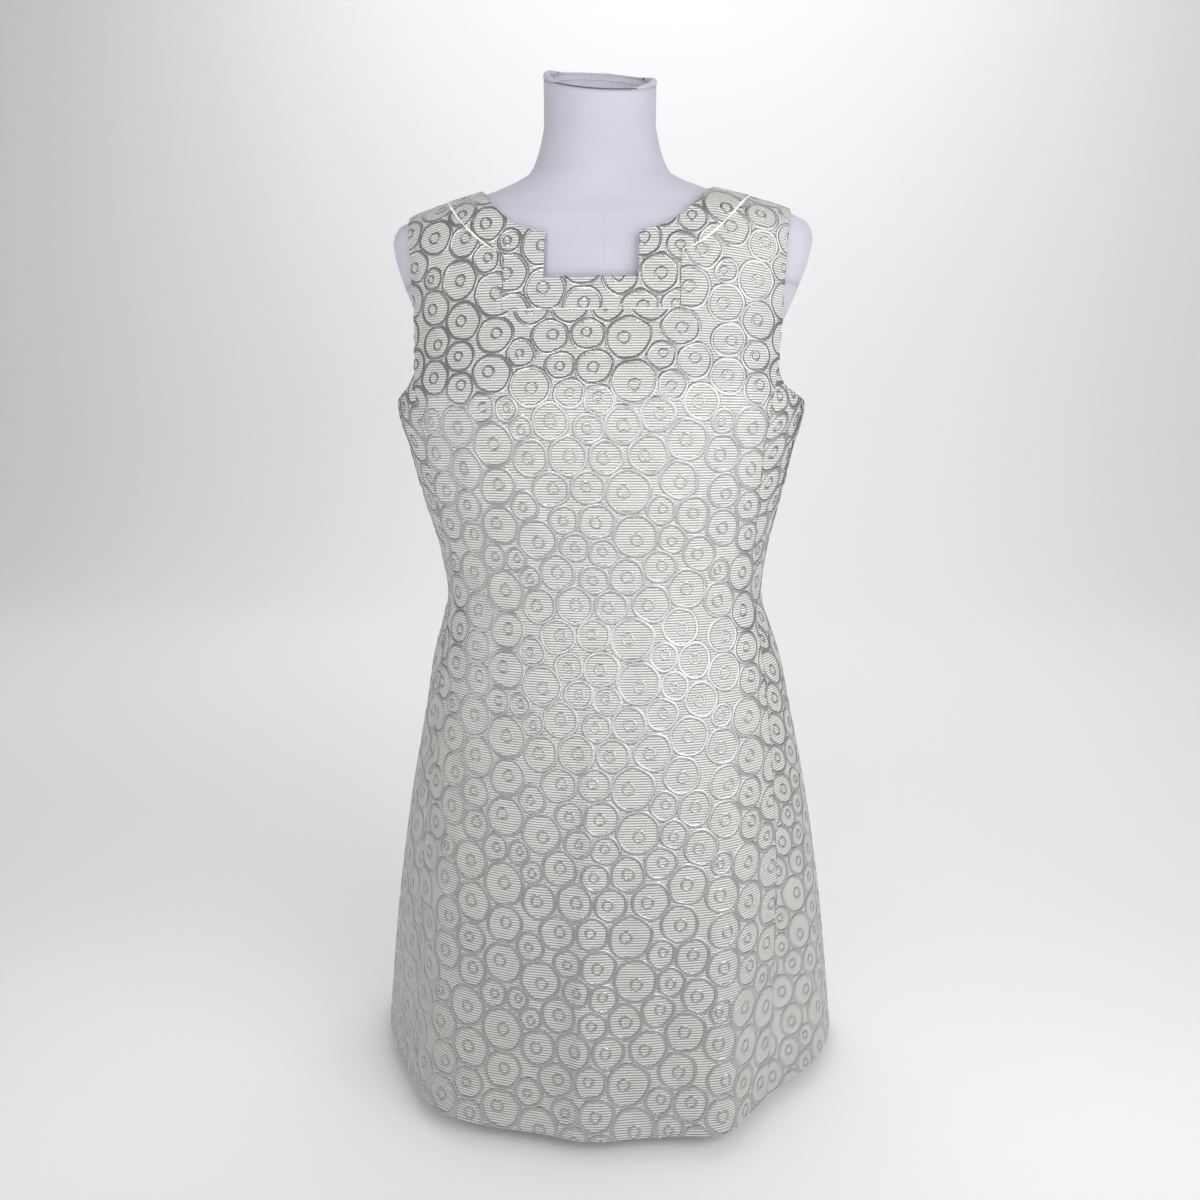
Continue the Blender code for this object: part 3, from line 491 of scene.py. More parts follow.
@dataclass(frozen=True)
class DressCloth:
    """The cloth as it hangs: the figure's surface, its folds and creases, and the sway of the skirt."""

    figure: Figure

    def relief(self, points: np.ndarray) -> np.ndarray:
        """How far folds and creases stand out of the plain surface.

        Args:
            points: (..., 3) places in the figure's frame.

        Returns:
            The relief at each place.
        """
        x, y, height = points[..., 0], points[..., 1], points[..., 2]
        side = np.where(y < self.figure.size("middle", height), FRONT.value, BACK.value)
        fade = 1 - np.clip(np.abs(x) / self.figure.size("half_width", height), 0.0, 1.0) ** FOLD_FADE
        rise = np.zeros_like(x)
        for fold in FOLDS:
            down = np.clip(1 - height / fold.top, 0.0, 1.0)
            centre = fold.top_x + (fold.hem_x - fold.top_x) * down
            bell = np.exp(-((x - centre) / fold.spread) ** 2)
            rise += np.where(side == fold.side.value, fold.rise * down ** FOLD_GROWTH * bell, 0.0)
        for crease in CREASES:
            rise += np.where(side == crease.side.value, crease.lift(x, height), 0.0)
        return rise * fade

    def sway(self, height: np.ndarray) -> np.ndarray:
        """How far the cloth hangs to one side: a smooth step from SWAY_TOP down to SWAY_FULL."""
        down = np.clip((SWAY_TOP - height) / (SWAY_TOP - SWAY_FULL), 0.0, 1.0)
        return SWAY * down * down * (3 - 2 * down)

    def face(self, points: np.ndarray, lift: float = 0.0) -> np.ndarray:
        """The cloth's outer face over points of the figure, raised by lift, in the part's frame.

        Args:
            points: (..., 3) places in the figure's frame.
            lift: height over the cloth's face.

        Returns:
            Points in the part's frame.
        """
        reach = REST_GAP + WALL + lift + self.relief(points)
        moved = points + self.figure.outward(points) * reach[..., None]
        moved[..., 0] += self.sway(points[..., 2])
        return moved + PLACE


CLOTH = DressCloth(DRESS_FIGURE)


@dataclass
class Chart:
    """The front or the back of the dress unrolled flat.

    v runs up the cloth and u across it from the centre line, both in metres along the surface. Rows of the
    chart are level below the band's foot, and shares of the climb to the shoulder above it. A station runs
    from -1 to 1 across a row: an angle below, and x above.
    """

    side: Side
    reach: float                       # the angle at station 1
    half_u: float
    low_rows: int = 190
    high_rows: int = 48
    stations: int = 321
    top_half: float = 0.180            # x at station 1 above the band's foot
    column_width: float = 0.0032
    shoulder_span: tuple = (0.09, 0.15)
    columns: int = field(init=False)
    heights: np.ndarray = field(init=False)
    shares: np.ndarray = field(init=False)
    u: np.ndarray = field(init=False)
    v: np.ndarray = field(init=False)
    even_face: np.ndarray = field(init=False)
    even_out: np.ndarray = field(init=False)

    def __post_init__(self) -> None:
        """Measures the surface and stores it at even steps of u."""
        station = np.linspace(-1.0, 1.0, self.stations)[None]
        self.heights = np.linspace(0.0, BAND_FOOT, self.low_rows + 1)
        self.shares = np.linspace(0.0, 1.0, self.high_rows + 1)
        low = self.low_points(station * self.reach, self.heights[:, None])
        high_x = station * self.top_half + 0 * self.shares[:, None]
        high = DRESS_FIGURE.on_side(high_x, climbed(high_x, self.shares[:, None] + 0 * high_x), self.side)
        face = np.concatenate([CLOTH.face(low), CLOTH.face(high)])
        steps = np.linalg.norm(np.diff(face, axis=1), axis=-1)
        lengths = np.concatenate([np.zeros((len(face), 1)), np.cumsum(steps, axis=1)], axis=1)
        self.u = lengths - lengths[:, self.stations // 2][:, None]
        self.v = self.heights_of_rows(face, high_x)
        self.columns = int(2 * self.half_u / self.column_width)
        even = np.linspace(-self.half_u, self.half_u, self.columns + 1)
        self.even_face = np.stack([
            np.stack([np.interp(even, u, row[:, k]) for k in range(3)], axis=-1)
            for u, row in zip(self.u, face)])
        across = np.gradient(self.even_face, axis=1)
        up = np.concatenate([np.gradient(part, axis=0) for part in (
            self.even_face[:self.low_rows + 1], self.even_face[self.low_rows + 1:])])
        out = np.cross(across, up) * -self.side.value
        self.even_out = out / np.maximum(np.linalg.norm(out, axis=-1, keepdims=True), 1e-12)

    def low_points(self, angle: np.ndarray, height: np.ndarray) -> np.ndarray:
        """Figure points by the angle from this side's centre line."""
        from_back = angle if self.side is BACK else math.pi - angle
        return DRESS_FIGURE.ring(from_back, height + 0 * angle)

    def heights_of_rows(self, face: np.ndarray, high_x: np.ndarray) -> np.ndarray:
        """v of each row: the mean distance climbed, near the centre below and over the shoulders above.

        Args:
            face: (rows, stations, 3) points of the cloth's face.
            high_x: x of the upper rows' stations.

        Returns:
            v of each row.
        """
        gap = np.linalg.norm(np.diff(face, axis=0), axis=-1)
        middle = slice(self.stations * 3 // 8, self.stations * 5 // 8)
        near, far = self.shoulder_span
        over = (np.abs(high_x[0]) > near) & (np.abs(high_x[0]) < far)
        step = np.concatenate([
            gap[:self.low_rows, middle].mean(axis=1), [0.0], gap[self.low_rows + 1:, over].mean(axis=1)])
        return np.concatenate([[0.0], np.cumsum(step)])

    def measure(self, row: np.ndarray, station: np.ndarray) -> np.ndarray:
        """(u, v) of places given by row number and station, read between rows and stations."""
        u = between(self.u[..., None], row, (station + 1) / 2 * (self.stations - 1))[..., 0]
        return np.stack([u, np.interp(row, np.arange(len(self.v)), self.v)], axis=-1)

    def measure_low(self, angle: np.ndarray, height: np.ndarray) -> np.ndarray:
        """(u, v) below the band's foot, by angle from this side's centre line and height."""
        row = np.clip(height / BAND_FOOT, 0.0, 1.0) * self.low_rows
        return self.measure(np.minimum(row, self.low_rows - 1e-6), angle / self.reach)

    def measure_high(self, x: np.ndarray, share: np.ndarray) -> np.ndarray:
        """(u, v) above the band's foot, by x and share of the climb."""
        return self.measure(self.low_rows + 1 + np.clip(share, 0.0, 1.0) * self.high_rows, x / self.top_half)

    def place(self, uv: np.ndarray, lift: np.ndarray) -> np.ndarray:
        """Points in the part's frame at flat places (u, v), raised off the cloth by lift.

        Args:
            uv: flat places, ending in an axis of 2.
            lift: height over the cloth's face at each place.

        Returns:
            The points, ending in an axis of 3.
        """
        row = np.interp(uv[..., 1], self.v, np.arange(len(self.v)))
        column = (uv[..., 0] + self.half_u) / (2 * self.half_u) * self.columns
        return between(self.even_face, row, column) + between(self.even_out, row, column) * lift[..., None]


# ------------------------------------------------------------------ meshes


def new_object(name: str, mesh: bpy.types.Mesh) -> bpy.types.Object:
    """Links a mesh into the scene under its own name.

    Args:
        name: the object's name.
        mesh: its mesh.

    Returns:
        The object.
    """
    made = bpy.data.objects.new(name, mesh)
    bpy.context.scene.collection.objects.link(made)
    return made


def make_mesh(name: str, points: np.ndarray, faces: np.ndarray, uv: np.ndarray | None = None,
              edge: np.ndarray | None = None) -> bpy.types.Mesh:
    """A smooth mesh from whole arrays.

    Args:
        name: the mesh's name.
        points: (n, 3) vertices.
        faces: (m, 3) or (m, 4) corner numbers.
        uv: (n, 2) flat places, one for each vertex.
        edge: (n,) values of the attribute "edge".

    Returns:
        The mesh.
    """
    mesh = bpy.data.meshes.new(name)
    corners = faces.shape[1]
    mesh.vertices.add(len(points))
    mesh.vertices.foreach_set("co", points.astype(np.float32).ravel())
    mesh.loops.add(faces.size)
    mesh.loops.foreach_set("vertex_index", faces.astype(np.int32).ravel())
    mesh.polygons.add(len(faces))
    mesh.polygons.foreach_set("loop_start", np.arange(0, faces.size, corners, dtype=np.int32))
    mesh.polygons.foreach_set("loop_total", np.full(len(faces), corners, np.int32))
    if uv is not None:
        layer = mesh.uv_layers.new(name="Flat")
        layer.data.foreach_set("uv", uv[faces.ravel()].astype(np.float32).ravel())
    if edge is not None:
        attribute = mesh.attributes.new("edge", "FLOAT", "POINT")
        attribute.data.foreach_set("value", edge.astype(np.float32))
    mesh.update(calc_edges=True)
    mesh.validate()
    mesh.shade_smooth()
    return mesh


def grid_faces(index: np.ndarray, turned: bool = False) -> np.ndarray:
    """The four-cornered faces of one or more grids of vertex numbers.

    Args:
        index: the numbers, in the last two axes.
        turned: whether the faces look the other way.

    Returns:
        (m, 4) corner numbers.
    """
    low, high = index[..., :-1, :], index[..., 1:, :]
    faces = np.stack([low[..., :-1], low[..., 1:], high[..., 1:], high[..., :-1]], axis=-1).reshape(-1, 4)
    return faces[:, ::-1] if turned else faces


def loft(name: str, rows: np.ndarray, turned: bool = False, cap_first: bool = False,
         cap_last: bool = False) -> bpy.types.Mesh:
    """A closed tube through rings of points, an (n, m, 3) array, with flat fans for its ends.

    Args:
        name: the mesh's name.
        rows: (n, m, 3) points, ring by ring.
        turned: whether the faces look the other way.
        cap_first: whether the first ring is closed.
        cap_last: whether the last ring is closed.

    Returns:
        The mesh.
    """
    count, sides = rows.shape[:2]
    index = np.arange(count * sides).reshape(count, sides)
    faces = grid_faces(np.column_stack([index, index[:, :1]]), turned)
    points = rows.reshape(-1, 3)
    for wanted, ring, flip in ((cap_first, index[0], not turned), (cap_last, index[-1], turned)):
        if wanted:
            centre = len(points)
            points = np.vstack([points, points[ring].mean(axis=0)])
            after = np.roll(ring, -1)
            fan = np.stack([ring, after, np.full(sides, centre), np.full(sides, centre)], axis=1)
            faces = np.vstack([faces, fan[:, ::-1] if flip else fan])
    return make_mesh(name, points, faces)


def turns(count: int) -> np.ndarray:
    """Even angles round a full turn."""
    return np.arange(count) * FULL_TURN / count


def compass(count: int) -> np.ndarray:
    """Unit directions in a plane at even angles: (count, 2)."""
    return np.stack([np.cos(turns(count)), np.sin(turns(count))], axis=-1)


def tube(path: np.ndarray, radius: float | np.ndarray, sides: int, closed: bool = False) -> tuple:
    """A round profile carried along a path: the ring at each point lies square to the path.

    Args:
        path: (n, 3) points.
        radius: the radius, or one for each point.
        sides: points round the profile.
        closed: whether the path joins up.

    Returns:
        Points (n * sides, 3) and faces.
    """
    ahead = np.roll(path, -1, axis=0) - np.roll(path, 1, axis=0)
    if not closed:
        ahead[0], ahead[-1] = path[1] - path[0], path[-1] - path[-2]
    ahead /= np.linalg.norm(ahead, axis=1, keepdims=True)
    guide = np.where(np.abs(ahead[:, 2:3]) > 0.8, [[1.0, 0.0, 0.0]], [[0.0, 0.0, 1.0]])
    first = np.cross(ahead, guide)
    first /= np.linalg.norm(first, axis=1, keepdims=True)
    second = np.cross(ahead, first)
    size = np.broadcast_to(np.asarray(radius, float), (len(path),))[:, None, None]
    spoke = compass(sides)[None]
    spokes = spoke[..., :1] * first[:, None] + spoke[..., 1:] * second[:, None]
    points = (path[:, None] + spokes * size).reshape(-1, 3)
    index = np.arange(len(path) * sides).reshape(len(path), sides)
    if closed:
        index = np.vstack([index, index[:1]])
    return points, grid_faces(np.column_stack([index, index[:, :1]]))


def rounded_ends(count: int, least: float) -> np.ndarray:
    """A half ellipse of sizes along a short tube: sqrt(1 - t^2), but never its square under the least."""
    return np.sqrt(np.clip(1 - np.linspace(-1, 1, count) ** 2, least, 1))


def joined_piece(name: str, *parts: tuple) -> bpy.types.Object:
    """One object of several tubes.

    Args:
        name: the object's name.
        parts: points and faces of each tube.

    Returns:
        The object.
    """
    starts = np.cumsum([0] + [len(points) for points, _ in parts[:-1]])
    points = np.concatenate([points for points, _ in parts])
    faces = np.concatenate([faces + start for (_, faces), start in zip(parts, starts)])
    return new_object(name, make_mesh(name, points, faces))


def thickened(made: bpy.types.Object, thickness: float) -> None:
    """Gives a sheet its thickness, inwards from its face.

    Args:
        made: the sheet's object.
        thickness: the wall's thickness.
    """
    wall = made.modifiers.new("Wall", "SOLIDIFY")
    wall.thickness = thickness
    wall.offset = -1.0


# ------------------------------------------------------------------ cloth pieces


class Patch(NamedTuple):
    """A grid of figure points with their flat places."""

    points: np.ndarray
    uv: np.ndarray
    turned: bool


class FlatEdge(NamedTuple):
    """The outline of a piece in its flat chart, as loose segments."""

    start: np.ndarray
    end: np.ndarray

    def nearest(self, uv: np.ndarray) -> tuple:
        """The nearest place on the outline to each flat place, and how far it is.

        Args:
            uv: (n, 2) flat places.

        Returns:
            (n, 2) nearest places and (n,) distances.
        """
        run = self.end - self.start
        square = np.maximum((run ** 2).sum(axis=-1), 1e-16)
        best = np.full(len(uv), np.inf)
        found = np.zeros_like(uv)
        for first in range(0, len(uv), CHUNK):
            part = uv[first:first + CHUNK, None]
            t = np.clip(((part - self.start) * run).sum(axis=-1) / square, 0.0, 1.0)
            near = self.start + run * t[..., None]
            gap = np.linalg.norm(part - near, axis=-1)
            pick = gap.argmin(axis=1)
            rows = np.arange(len(pick))
            best[first:first + CHUNK] = gap[rows, pick]
            found[first:first + CHUNK] = near[rows, pick]
        return found, best

    def holds(self, uv: np.ndarray) -> np.ndarray:
        """Whether each flat place is inside: an odd number of segments crosses the ray to its right.

        Args:
            uv: (n, 2) flat places.

        Returns:
            (n,) true inside.
        """
        inside = np.zeros(len(uv), bool)
        low = np.minimum(self.start[:, 1], self.end[:, 1])
        high = np.maximum(self.start[:, 1], self.end[:, 1])
        run = self.end - self.start
        slope = run[:, 0] / np.where(run[:, 1] == 0.0, 1.0, run[:, 1])
        for first in range(0, len(uv), CHUNK):
            u, v = uv[first:first + CHUNK, 0:1], uv[first:first + CHUNK, 1:2]
            crossed = (low <= v) & (v < high)
            at = self.start[:, 0] + slope * (v - self.start[:, 1])
            inside[first:first + CHUNK] = (crossed & (at > u)).sum(axis=1) % 2 == 1
        return inside


@dataclass
class ClothPiece:
    """One cut piece of the dress, built from patches and finished as a thin shell."""

    name: str
    node: str
    chart: Chart
    patches: list
    lift: float = 0.0
    strip_width: float = 0.0           # of a shaped strip, whose flat length follows from its area
    thickness: float = WALL * 0.85
    edge_radius: float = 0.00062
    edge_angle: float = math.radians(50)
    edge: FlatEdge = field(init=False)
    flat_area: float = field(init=False)
    flat_size: tuple = field(init=False)

    def build(self) -> bpy.types.Object:
        """Joins the patches where they share points, and gives the cloth its thickness inwards.

        Returns:
            The piece's object.
        """
        points = np.concatenate([patch.points.reshape(-1, 3) for patch in self.patches])
        uv = np.concatenate([patch.uv.reshape(-1, 2) for patch in self.patches])
        faces, start = [], 0
        for patch in self.patches:
            index = start + np.arange(patch.points[..., 0].size).reshape(patch.points.shape[:2])
            faces.append(grid_faces(index, patch.turned))
            start += index.size
        _, first, same = np.unique(np.round(points, 6), axis=0, return_index=True, return_inverse=True)
        points, uv, faces = points[first], uv[first], same.reshape(-1)[np.concatenate(faces)]
        rim = self.measure(uv, faces)
        mesh = make_mesh(self.name, self.drawn_back(CLOTH.face(points, self.lift), faces, rim), faces, uv)
        made = new_object(self.name, mesh)
        thickened(made, self.thickness)
        edge = made.modifiers.new("Turned edge", "BEVEL")
        edge.width = self.edge_radius
        edge.segments = 2
        edge.limit_method = "ANGLE"
        edge.angle_limit = self.edge_angle
        return made

    def drawn_back(self, points: np.ndarray, faces: np.ndarray, rim: np.ndarray) -> np.ndarray:
        """Draws every rim point back from the edge, towards the middles of the faces that it belongs to.

        Args:
            points: (n, 3) vertices.
            faces: (m, 4) corner numbers.
            rim: the rim's edges as pairs of vertex numbers.

        Returns:
            The vertices, with the rim moved.
        """
        toward = np.zeros_like(points)
        middles = points[faces].mean(axis=1)
        for corner in range(4):
            np.add.at(toward, faces[:, corner], middles - points[faces[:, corner]])
        edge = np.unique(rim)
        length = np.linalg.norm(toward[edge], axis=1, keepdims=True)
        points[edge] += toward[edge] / length * SEAM_DRAW
        return points

    def measure(self, uv: np.ndarray, faces: np.ndarray) -> np.ndarray:
        """Keeps the flat outline, the edges that belong to one face, and the flat size and area.

        Args:
            uv: flat places of the vertices.
            faces: the faces' corner numbers.

        Returns:
            The rim's edges as pairs of vertex numbers.
        """
        sides = np.sort(np.concatenate([faces[:, [k, (k + 1) % 4]] for k in range(4)]), axis=1)
        pairs, count = np.unique(sides, axis=0, return_counts=True)
        rim = pairs[count == 1]
        self.edge = FlatEdge(uv[rim[:, 0]], uv[rim[:, 1]])
        across, up = uv[faces[:, 2]] - uv[faces[:, 0]], uv[faces[:, 3]] - uv[faces[:, 1]]
        self.flat_area = float(np.abs(across[:, 0] * up[:, 1] - across[:, 1] * up[:, 0]).sum() / 2)
        self.flat_size = tuple(float(x) for x in np.ptp(uv, axis=0))
        if self.strip_width:
            self.flat_size = (self.strip_width, self.flat_area / self.strip_width)
        return rim


@dataclass
class DressCut:
    """The cut of the dress: its seams, and the patches of each piece between them."""

    front: Chart
    back: Chart
    panel_rows: int = 150
    armhole_rows: int = 12
    centre_columns: int = 36
    side_columns: int = 24
    drop_rows: int = 12
    curve_rows: int = 26
    band_rows: int = 10
    back_seam_columns: int = 34
    shoulder_columns: int = 8
    back_arm_columns: int = 14
    front_arm_columns: int = 8
    back_upper_rows: int = 34
    foot_fold: float = 0.00050         # radii of the front band's turned edge
    side_fold: float = 0.00095
    corner_share: float = field(init=False)
    side_shares: np.ndarray = field(init=False)

    def __post_init__(self) -> None:
        """Finds the shares of the climb at the rows beside the front band."""
        corner = float(climb(np.array([BAND_CORNER_HALF]), np.array([BAND_CORNER_HEIGHT]))[0])
        self.corner_share = corner
        self.side_shares = np.concatenate([
            np.linspace(0.0, corner, self.drop_rows + 1), np.linspace(corner, 1.0, self.curve_rows + 1)[1:]])

    def band_side_x(self, shares: np.ndarray) -> np.ndarray:
        """Where the front band's outer seam, curving up to the shoulder, passes each share of the climb."""
        edge = rise_to_shoulder((BAND_CORNER_HALF, BAND_CORNER_HEIGHT), BAND_HALF, BAND_SEAM_CURVE)
        return x_at(*edge, shares)

    def front_seam_x(self) -> np.ndarray:
        """The front band's outer seam beside the side rows: straight up, then curving to the shoulder."""
        upright = self.side_shares <= self.corner_share
        return np.where(upright, BAND_CORNER_HALF, self.band_side_x(self.side_shares))

    def front_neckline(self) -> tuple:
        """The notch's side and the scoop above it: x and share of the climb for each side row.

        Returns:
            x and share of the climb.
        """
        drop = np.linspace(NOTCH_FOOT, NOTCH_TOP, self.drop_rows + 1)
        drop_x = np.full_like(drop, NOTCH_HALF)
        drop_share = climb(drop_x, drop)
        share = np.linspace(drop_share[-1], 1.0, self.curve_rows + 1)[1:]
        scoop_x = x_at(*rise_to_shoulder((NOTCH_HALF, NOTCH_TOP), NECK_HALF, SCOOP_CURVE), share)
        return np.concatenate([drop_x, scoop_x]), np.concatenate([drop_share, share])

    def back_edge(self, centre_height: float, end_half: float) -> tuple:
        """An edge round the back neck, from the centre to the shoulder: x and share of the climb.

        Args:
            centre_height: the edge's height at the centre back.
            end_half: its x on the shoulder.

        Returns:
            x and share of the climb.
        """
        run = np.sin(np.linspace(0.0, QUARTER, self.back_seam_columns + 1))
        top = shoulder_line(np.array([end_half]))[0]
        x = end_half * run
        return x, climb(x, centre_height + (top - centre_height) * run ** BACK_NECK_CURVE)

    def high_patch(self, chart: Chart, x: np.ndarray, share: np.ndarray, turned: bool) -> Patch:
        """A patch above the band's foot, by x and share of the climb."""
        points = DRESS_FIGURE.on_side(x, climbed(x, share), chart.side)
        return Patch(points, chart.measure_high(x, share), turned)

    def front_panel(self) -> ClothPiece:
        """From the hem to the band's foot across the whole width, then up each side of the band.

        Returns:
            The piece, not yet built.
        """
        heights = np.concatenate([
            np.linspace(0.0, SEAM_TOP, self.panel_rows + 1),
            np.linspace(SEAM_TOP, BAND_FOOT, self.armhole_rows + 1)[1:]])
        half = np.where(heights <= SEAM_TOP, along(SIDE_SEAM, "x", heights),
                        along(FRONT_ARMHOLE, "x", heights))
        spread = np.sin(np.linspace(0.0, SIDE_CROWDING, self.side_columns + 1)) / math.sin(SIDE_CROWDING)
        centre = np.linspace(0.0, BAND_CORNER_HALF, self.centre_columns // 2 + 1)
        side = BAND_CORNER_HALF + (half[:, None] - BAND_CORNER_HALF) * spread[None, 1:]
        right = np.concatenate([np.broadcast_to(centre, (len(half), len(centre))), side], axis=1)
        x = np.concatenate([-right[:, :0:-1], right], axis=1)
        height = heights[:, None] + 0 * x
        angle = math.pi - DRESS_FIGURE.angle_of(np.abs(x), height, FRONT)
        low = Patch(DRESS_FIGURE.on_side(x, height, FRONT),
                    self.front.measure_low(np.sign(x) * angle, height), False)
        patches = [low]
        inner, outer = self.front_seam_x()[:, None], armhole_x(FRONT_ARMHOLE, self.side_shares)[:, None]
        high_x = inner + (outer - inner) * spread
        share = self.side_shares[:, None] + 0 * high_x
        for hand in (1, -1):
            high = self.high_patch(self.front, hand * high_x, share, hand < 0)
            foot = np.s_[-1, -1 - self.side_columns:] if hand > 0 else np.s_[-1, self.side_columns::-1]
            high.points[0] = low.points[foot]
            patches.append(high)
        return ClothPiece("front_cloth", "front_panel", self.front, patches)

    def front_band(self) -> ClothPiece:
        """A strip round the front neck, whose upper edge is the scoop with the square notch.

        Returns:
            The piece, not yet built.
        """
        half = self.centre_columns // 2
        foot_x = np.linspace(0.0, BAND_CORNER_HALF, half + 1)
        notch_x = np.linspace(0.0, NOTCH_HALF, half + 1)
        notch_share = climb(notch_x, np.full_like(notch_x, NOTCH_FOOT))
        neck_x, neck_share = self.front_neckline()
        lower_x = np.concatenate([foot_x, self.front_seam_x()[1:]])
        upper_x = np.concatenate([notch_x, neck_x[1:]])
        lower_share = np.concatenate([0 * foot_x, self.side_shares[1:]])
        upper_share = np.concatenate([notch_share, neck_share[1:]])
        t = np.linspace(0.0, 1.0, self.band_rows + 1)[:, None]
        x, share = lower_x * (1 - t) + upper_x * t, lower_share * (1 - t) + upper_share * t
        x = np.concatenate([-x[:, :0:-1], x], axis=1)
        share = np.concatenate([share[:, :0:-1], share], axis=1)
        return ClothPiece("band_front_cloth", "neck_band_front", self.front,
                          [self.high_patch(self.front, x, share, False)], BAND_LIFT, BAND_WIDTH)

    def band_fold(self) -> bpy.types.Object:
        """The front band's turned edge as a fine raised fold: along its foot, and up both curves.

        Returns:
            The fold's object.
        """
        foot = np.linspace(-0.97, 0.97, 90) * BAND_CORNER_HALF
        share = np.linspace(self.corner_share, 0.995, 70)
        side = self.band_side_x(share)
        runs = ((foot, 0 * foot, self.foot_fold),
                (side, share, self.side_fold), (-side, share, self.side_fold))
        return joined_piece("band_front_fold", *(self.fold_tube(*run) for run in runs))

    def fold_tube(self, x: np.ndarray, share: np.ndarray, radius: float) -> tuple:
        """One run of the fold: its radius swells by two slow sines and shrinks at both ends.

        Args:
            x: distances from the centre line.
            share: shares of the climb.
            radius: the fold's radius.

        Returns:
            Points and faces.
        """
        count = len(x)
        points = CLOTH.face(DRESS_FIGURE.on_side(x, climbed(x, share), FRONT), BAND_LIFT)
        swell = 0.8 + 0.2 * np.sin(np.linspace(0, 17, count)) + 0.15 * np.sin(np.linspace(1, 41, count))
        from_end = np.minimum(np.arange(count), np.arange(count)[::-1])
        return tube(points, radius * swell * np.clip(from_end / 5, 0.25, 1.0), 8)

    def back_panel(self, name: str, node: str, hand: int) -> ClothPiece:
        """Half the back: round to the side seam below, and up to the band and shoulder.

        Args:
            name: the piece's name.
            node: the solid that it stands for.
            hand: 1 for the wearer's left and -1 for the right.

        Returns:
            The piece, not yet built.
        """
        back_heights = np.linspace(BAND_FOOT, UNDERARM, self.back_arm_columns + 1)
        front_heights = np.linspace(UNDERARM, SEAM_TOP, self.front_arm_columns + 1)[1:]
        back_angles = DRESS_FIGURE.angle_of(along(BACK_ARMHOLE, "x", back_heights), back_heights, BACK)
        front_angles = DRESS_FIGURE.angle_of(along(FRONT_ARMHOLE, "x", front_heights), front_heights, FRONT)
        upper_columns = self.back_seam_columns + self.shoulder_columns
        top_angle = np.concatenate([
            np.linspace(0.0, back_angles[0], upper_columns + 1), back_angles[1:], front_angles])
        top_height = np.concatenate([np.full(upper_columns, BAND_FOOT), back_heights, front_heights])
        share = np.linspace(0.0, 1.0, self.panel_rows + 1)[:, None]
        height = share * top_height
        seam_height = np.minimum(height, SEAM_TOP)
        seam_angle = DRESS_FIGURE.angle_of(along(SIDE_SEAM, "x", seam_height), seam_height, FRONT)
        even = np.linspace(0.0, 1.0, len(top_angle))
        angle = seam_angle * (even * (1 - share ** 2) + top_angle / top_angle[-1] * share ** 2)
        low = Patch(DRESS_FIGURE.ring(hand * angle, height),
                    self.back.measure_low(hand * angle, height), hand > 0)
        band_x, band_share = self.back_edge(BACK_NECK_HEIGHT - BAND_WIDTH, BAND_HALF)
        top_x = np.concatenate([band_x, np.linspace(BAND_HALF, SHOULDER_HALF, self.shoulder_columns + 1)[1:]])
        top_share = np.concatenate([band_share, np.ones(self.shoulder_columns)])
        foot_x = DRESS_FIGURE.ring(top_angle, top_height)[:upper_columns + 1, 0]
        t = np.linspace(0.0, 1.0, self.back_upper_rows + 1)[:, None]
        high_share = t * top_share
        high_x = foot_x * (1 - t) + top_x * t
        bow = armhole_x(BACK_ARMHOLE, high_share[:, -1]) - high_x[:, -1]
        high_x = high_x + bow[:, None] * np.linspace(0.0, 1.0, upper_columns + 1) ** ARMHOLE_BOW
        high = self.high_patch(self.back, hand * high_x, high_share, hand > 0)
        high.points[0] = low.points[-1, :upper_columns + 1]
        return ClothPiece(name, node, self.back, [low, high])

    def back_band(self, name: str, node: str, hand: int) -> ClothPiece:
        """Half the plain strip round the back neck.

        Args:
            name: the piece's name.
            node: the solid that it stands for.
            hand: 1 for the wearer's left and -1 for the right.

        Returns:
            The piece, not yet built.
        """
        foot_x, foot_share = self.back_edge(BACK_NECK_HEIGHT - BAND_WIDTH, BAND_HALF)
        neck_x, neck_share = self.back_edge(BACK_NECK_HEIGHT, NECK_HALF)
        t = np.linspace(0.0, 1.0, self.band_rows + 1)[:, None]
        x, share = foot_x * (1 - t) + neck_x * t, foot_share * (1 - t) + neck_share * t
        return ClothPiece(name, node, self.back, [self.high_patch(self.back, hand * x, share, hand > 0)],
                          BAND_LIFT, BAND_WIDTH)


# ------------------------------------------------------------------ the ring pattern


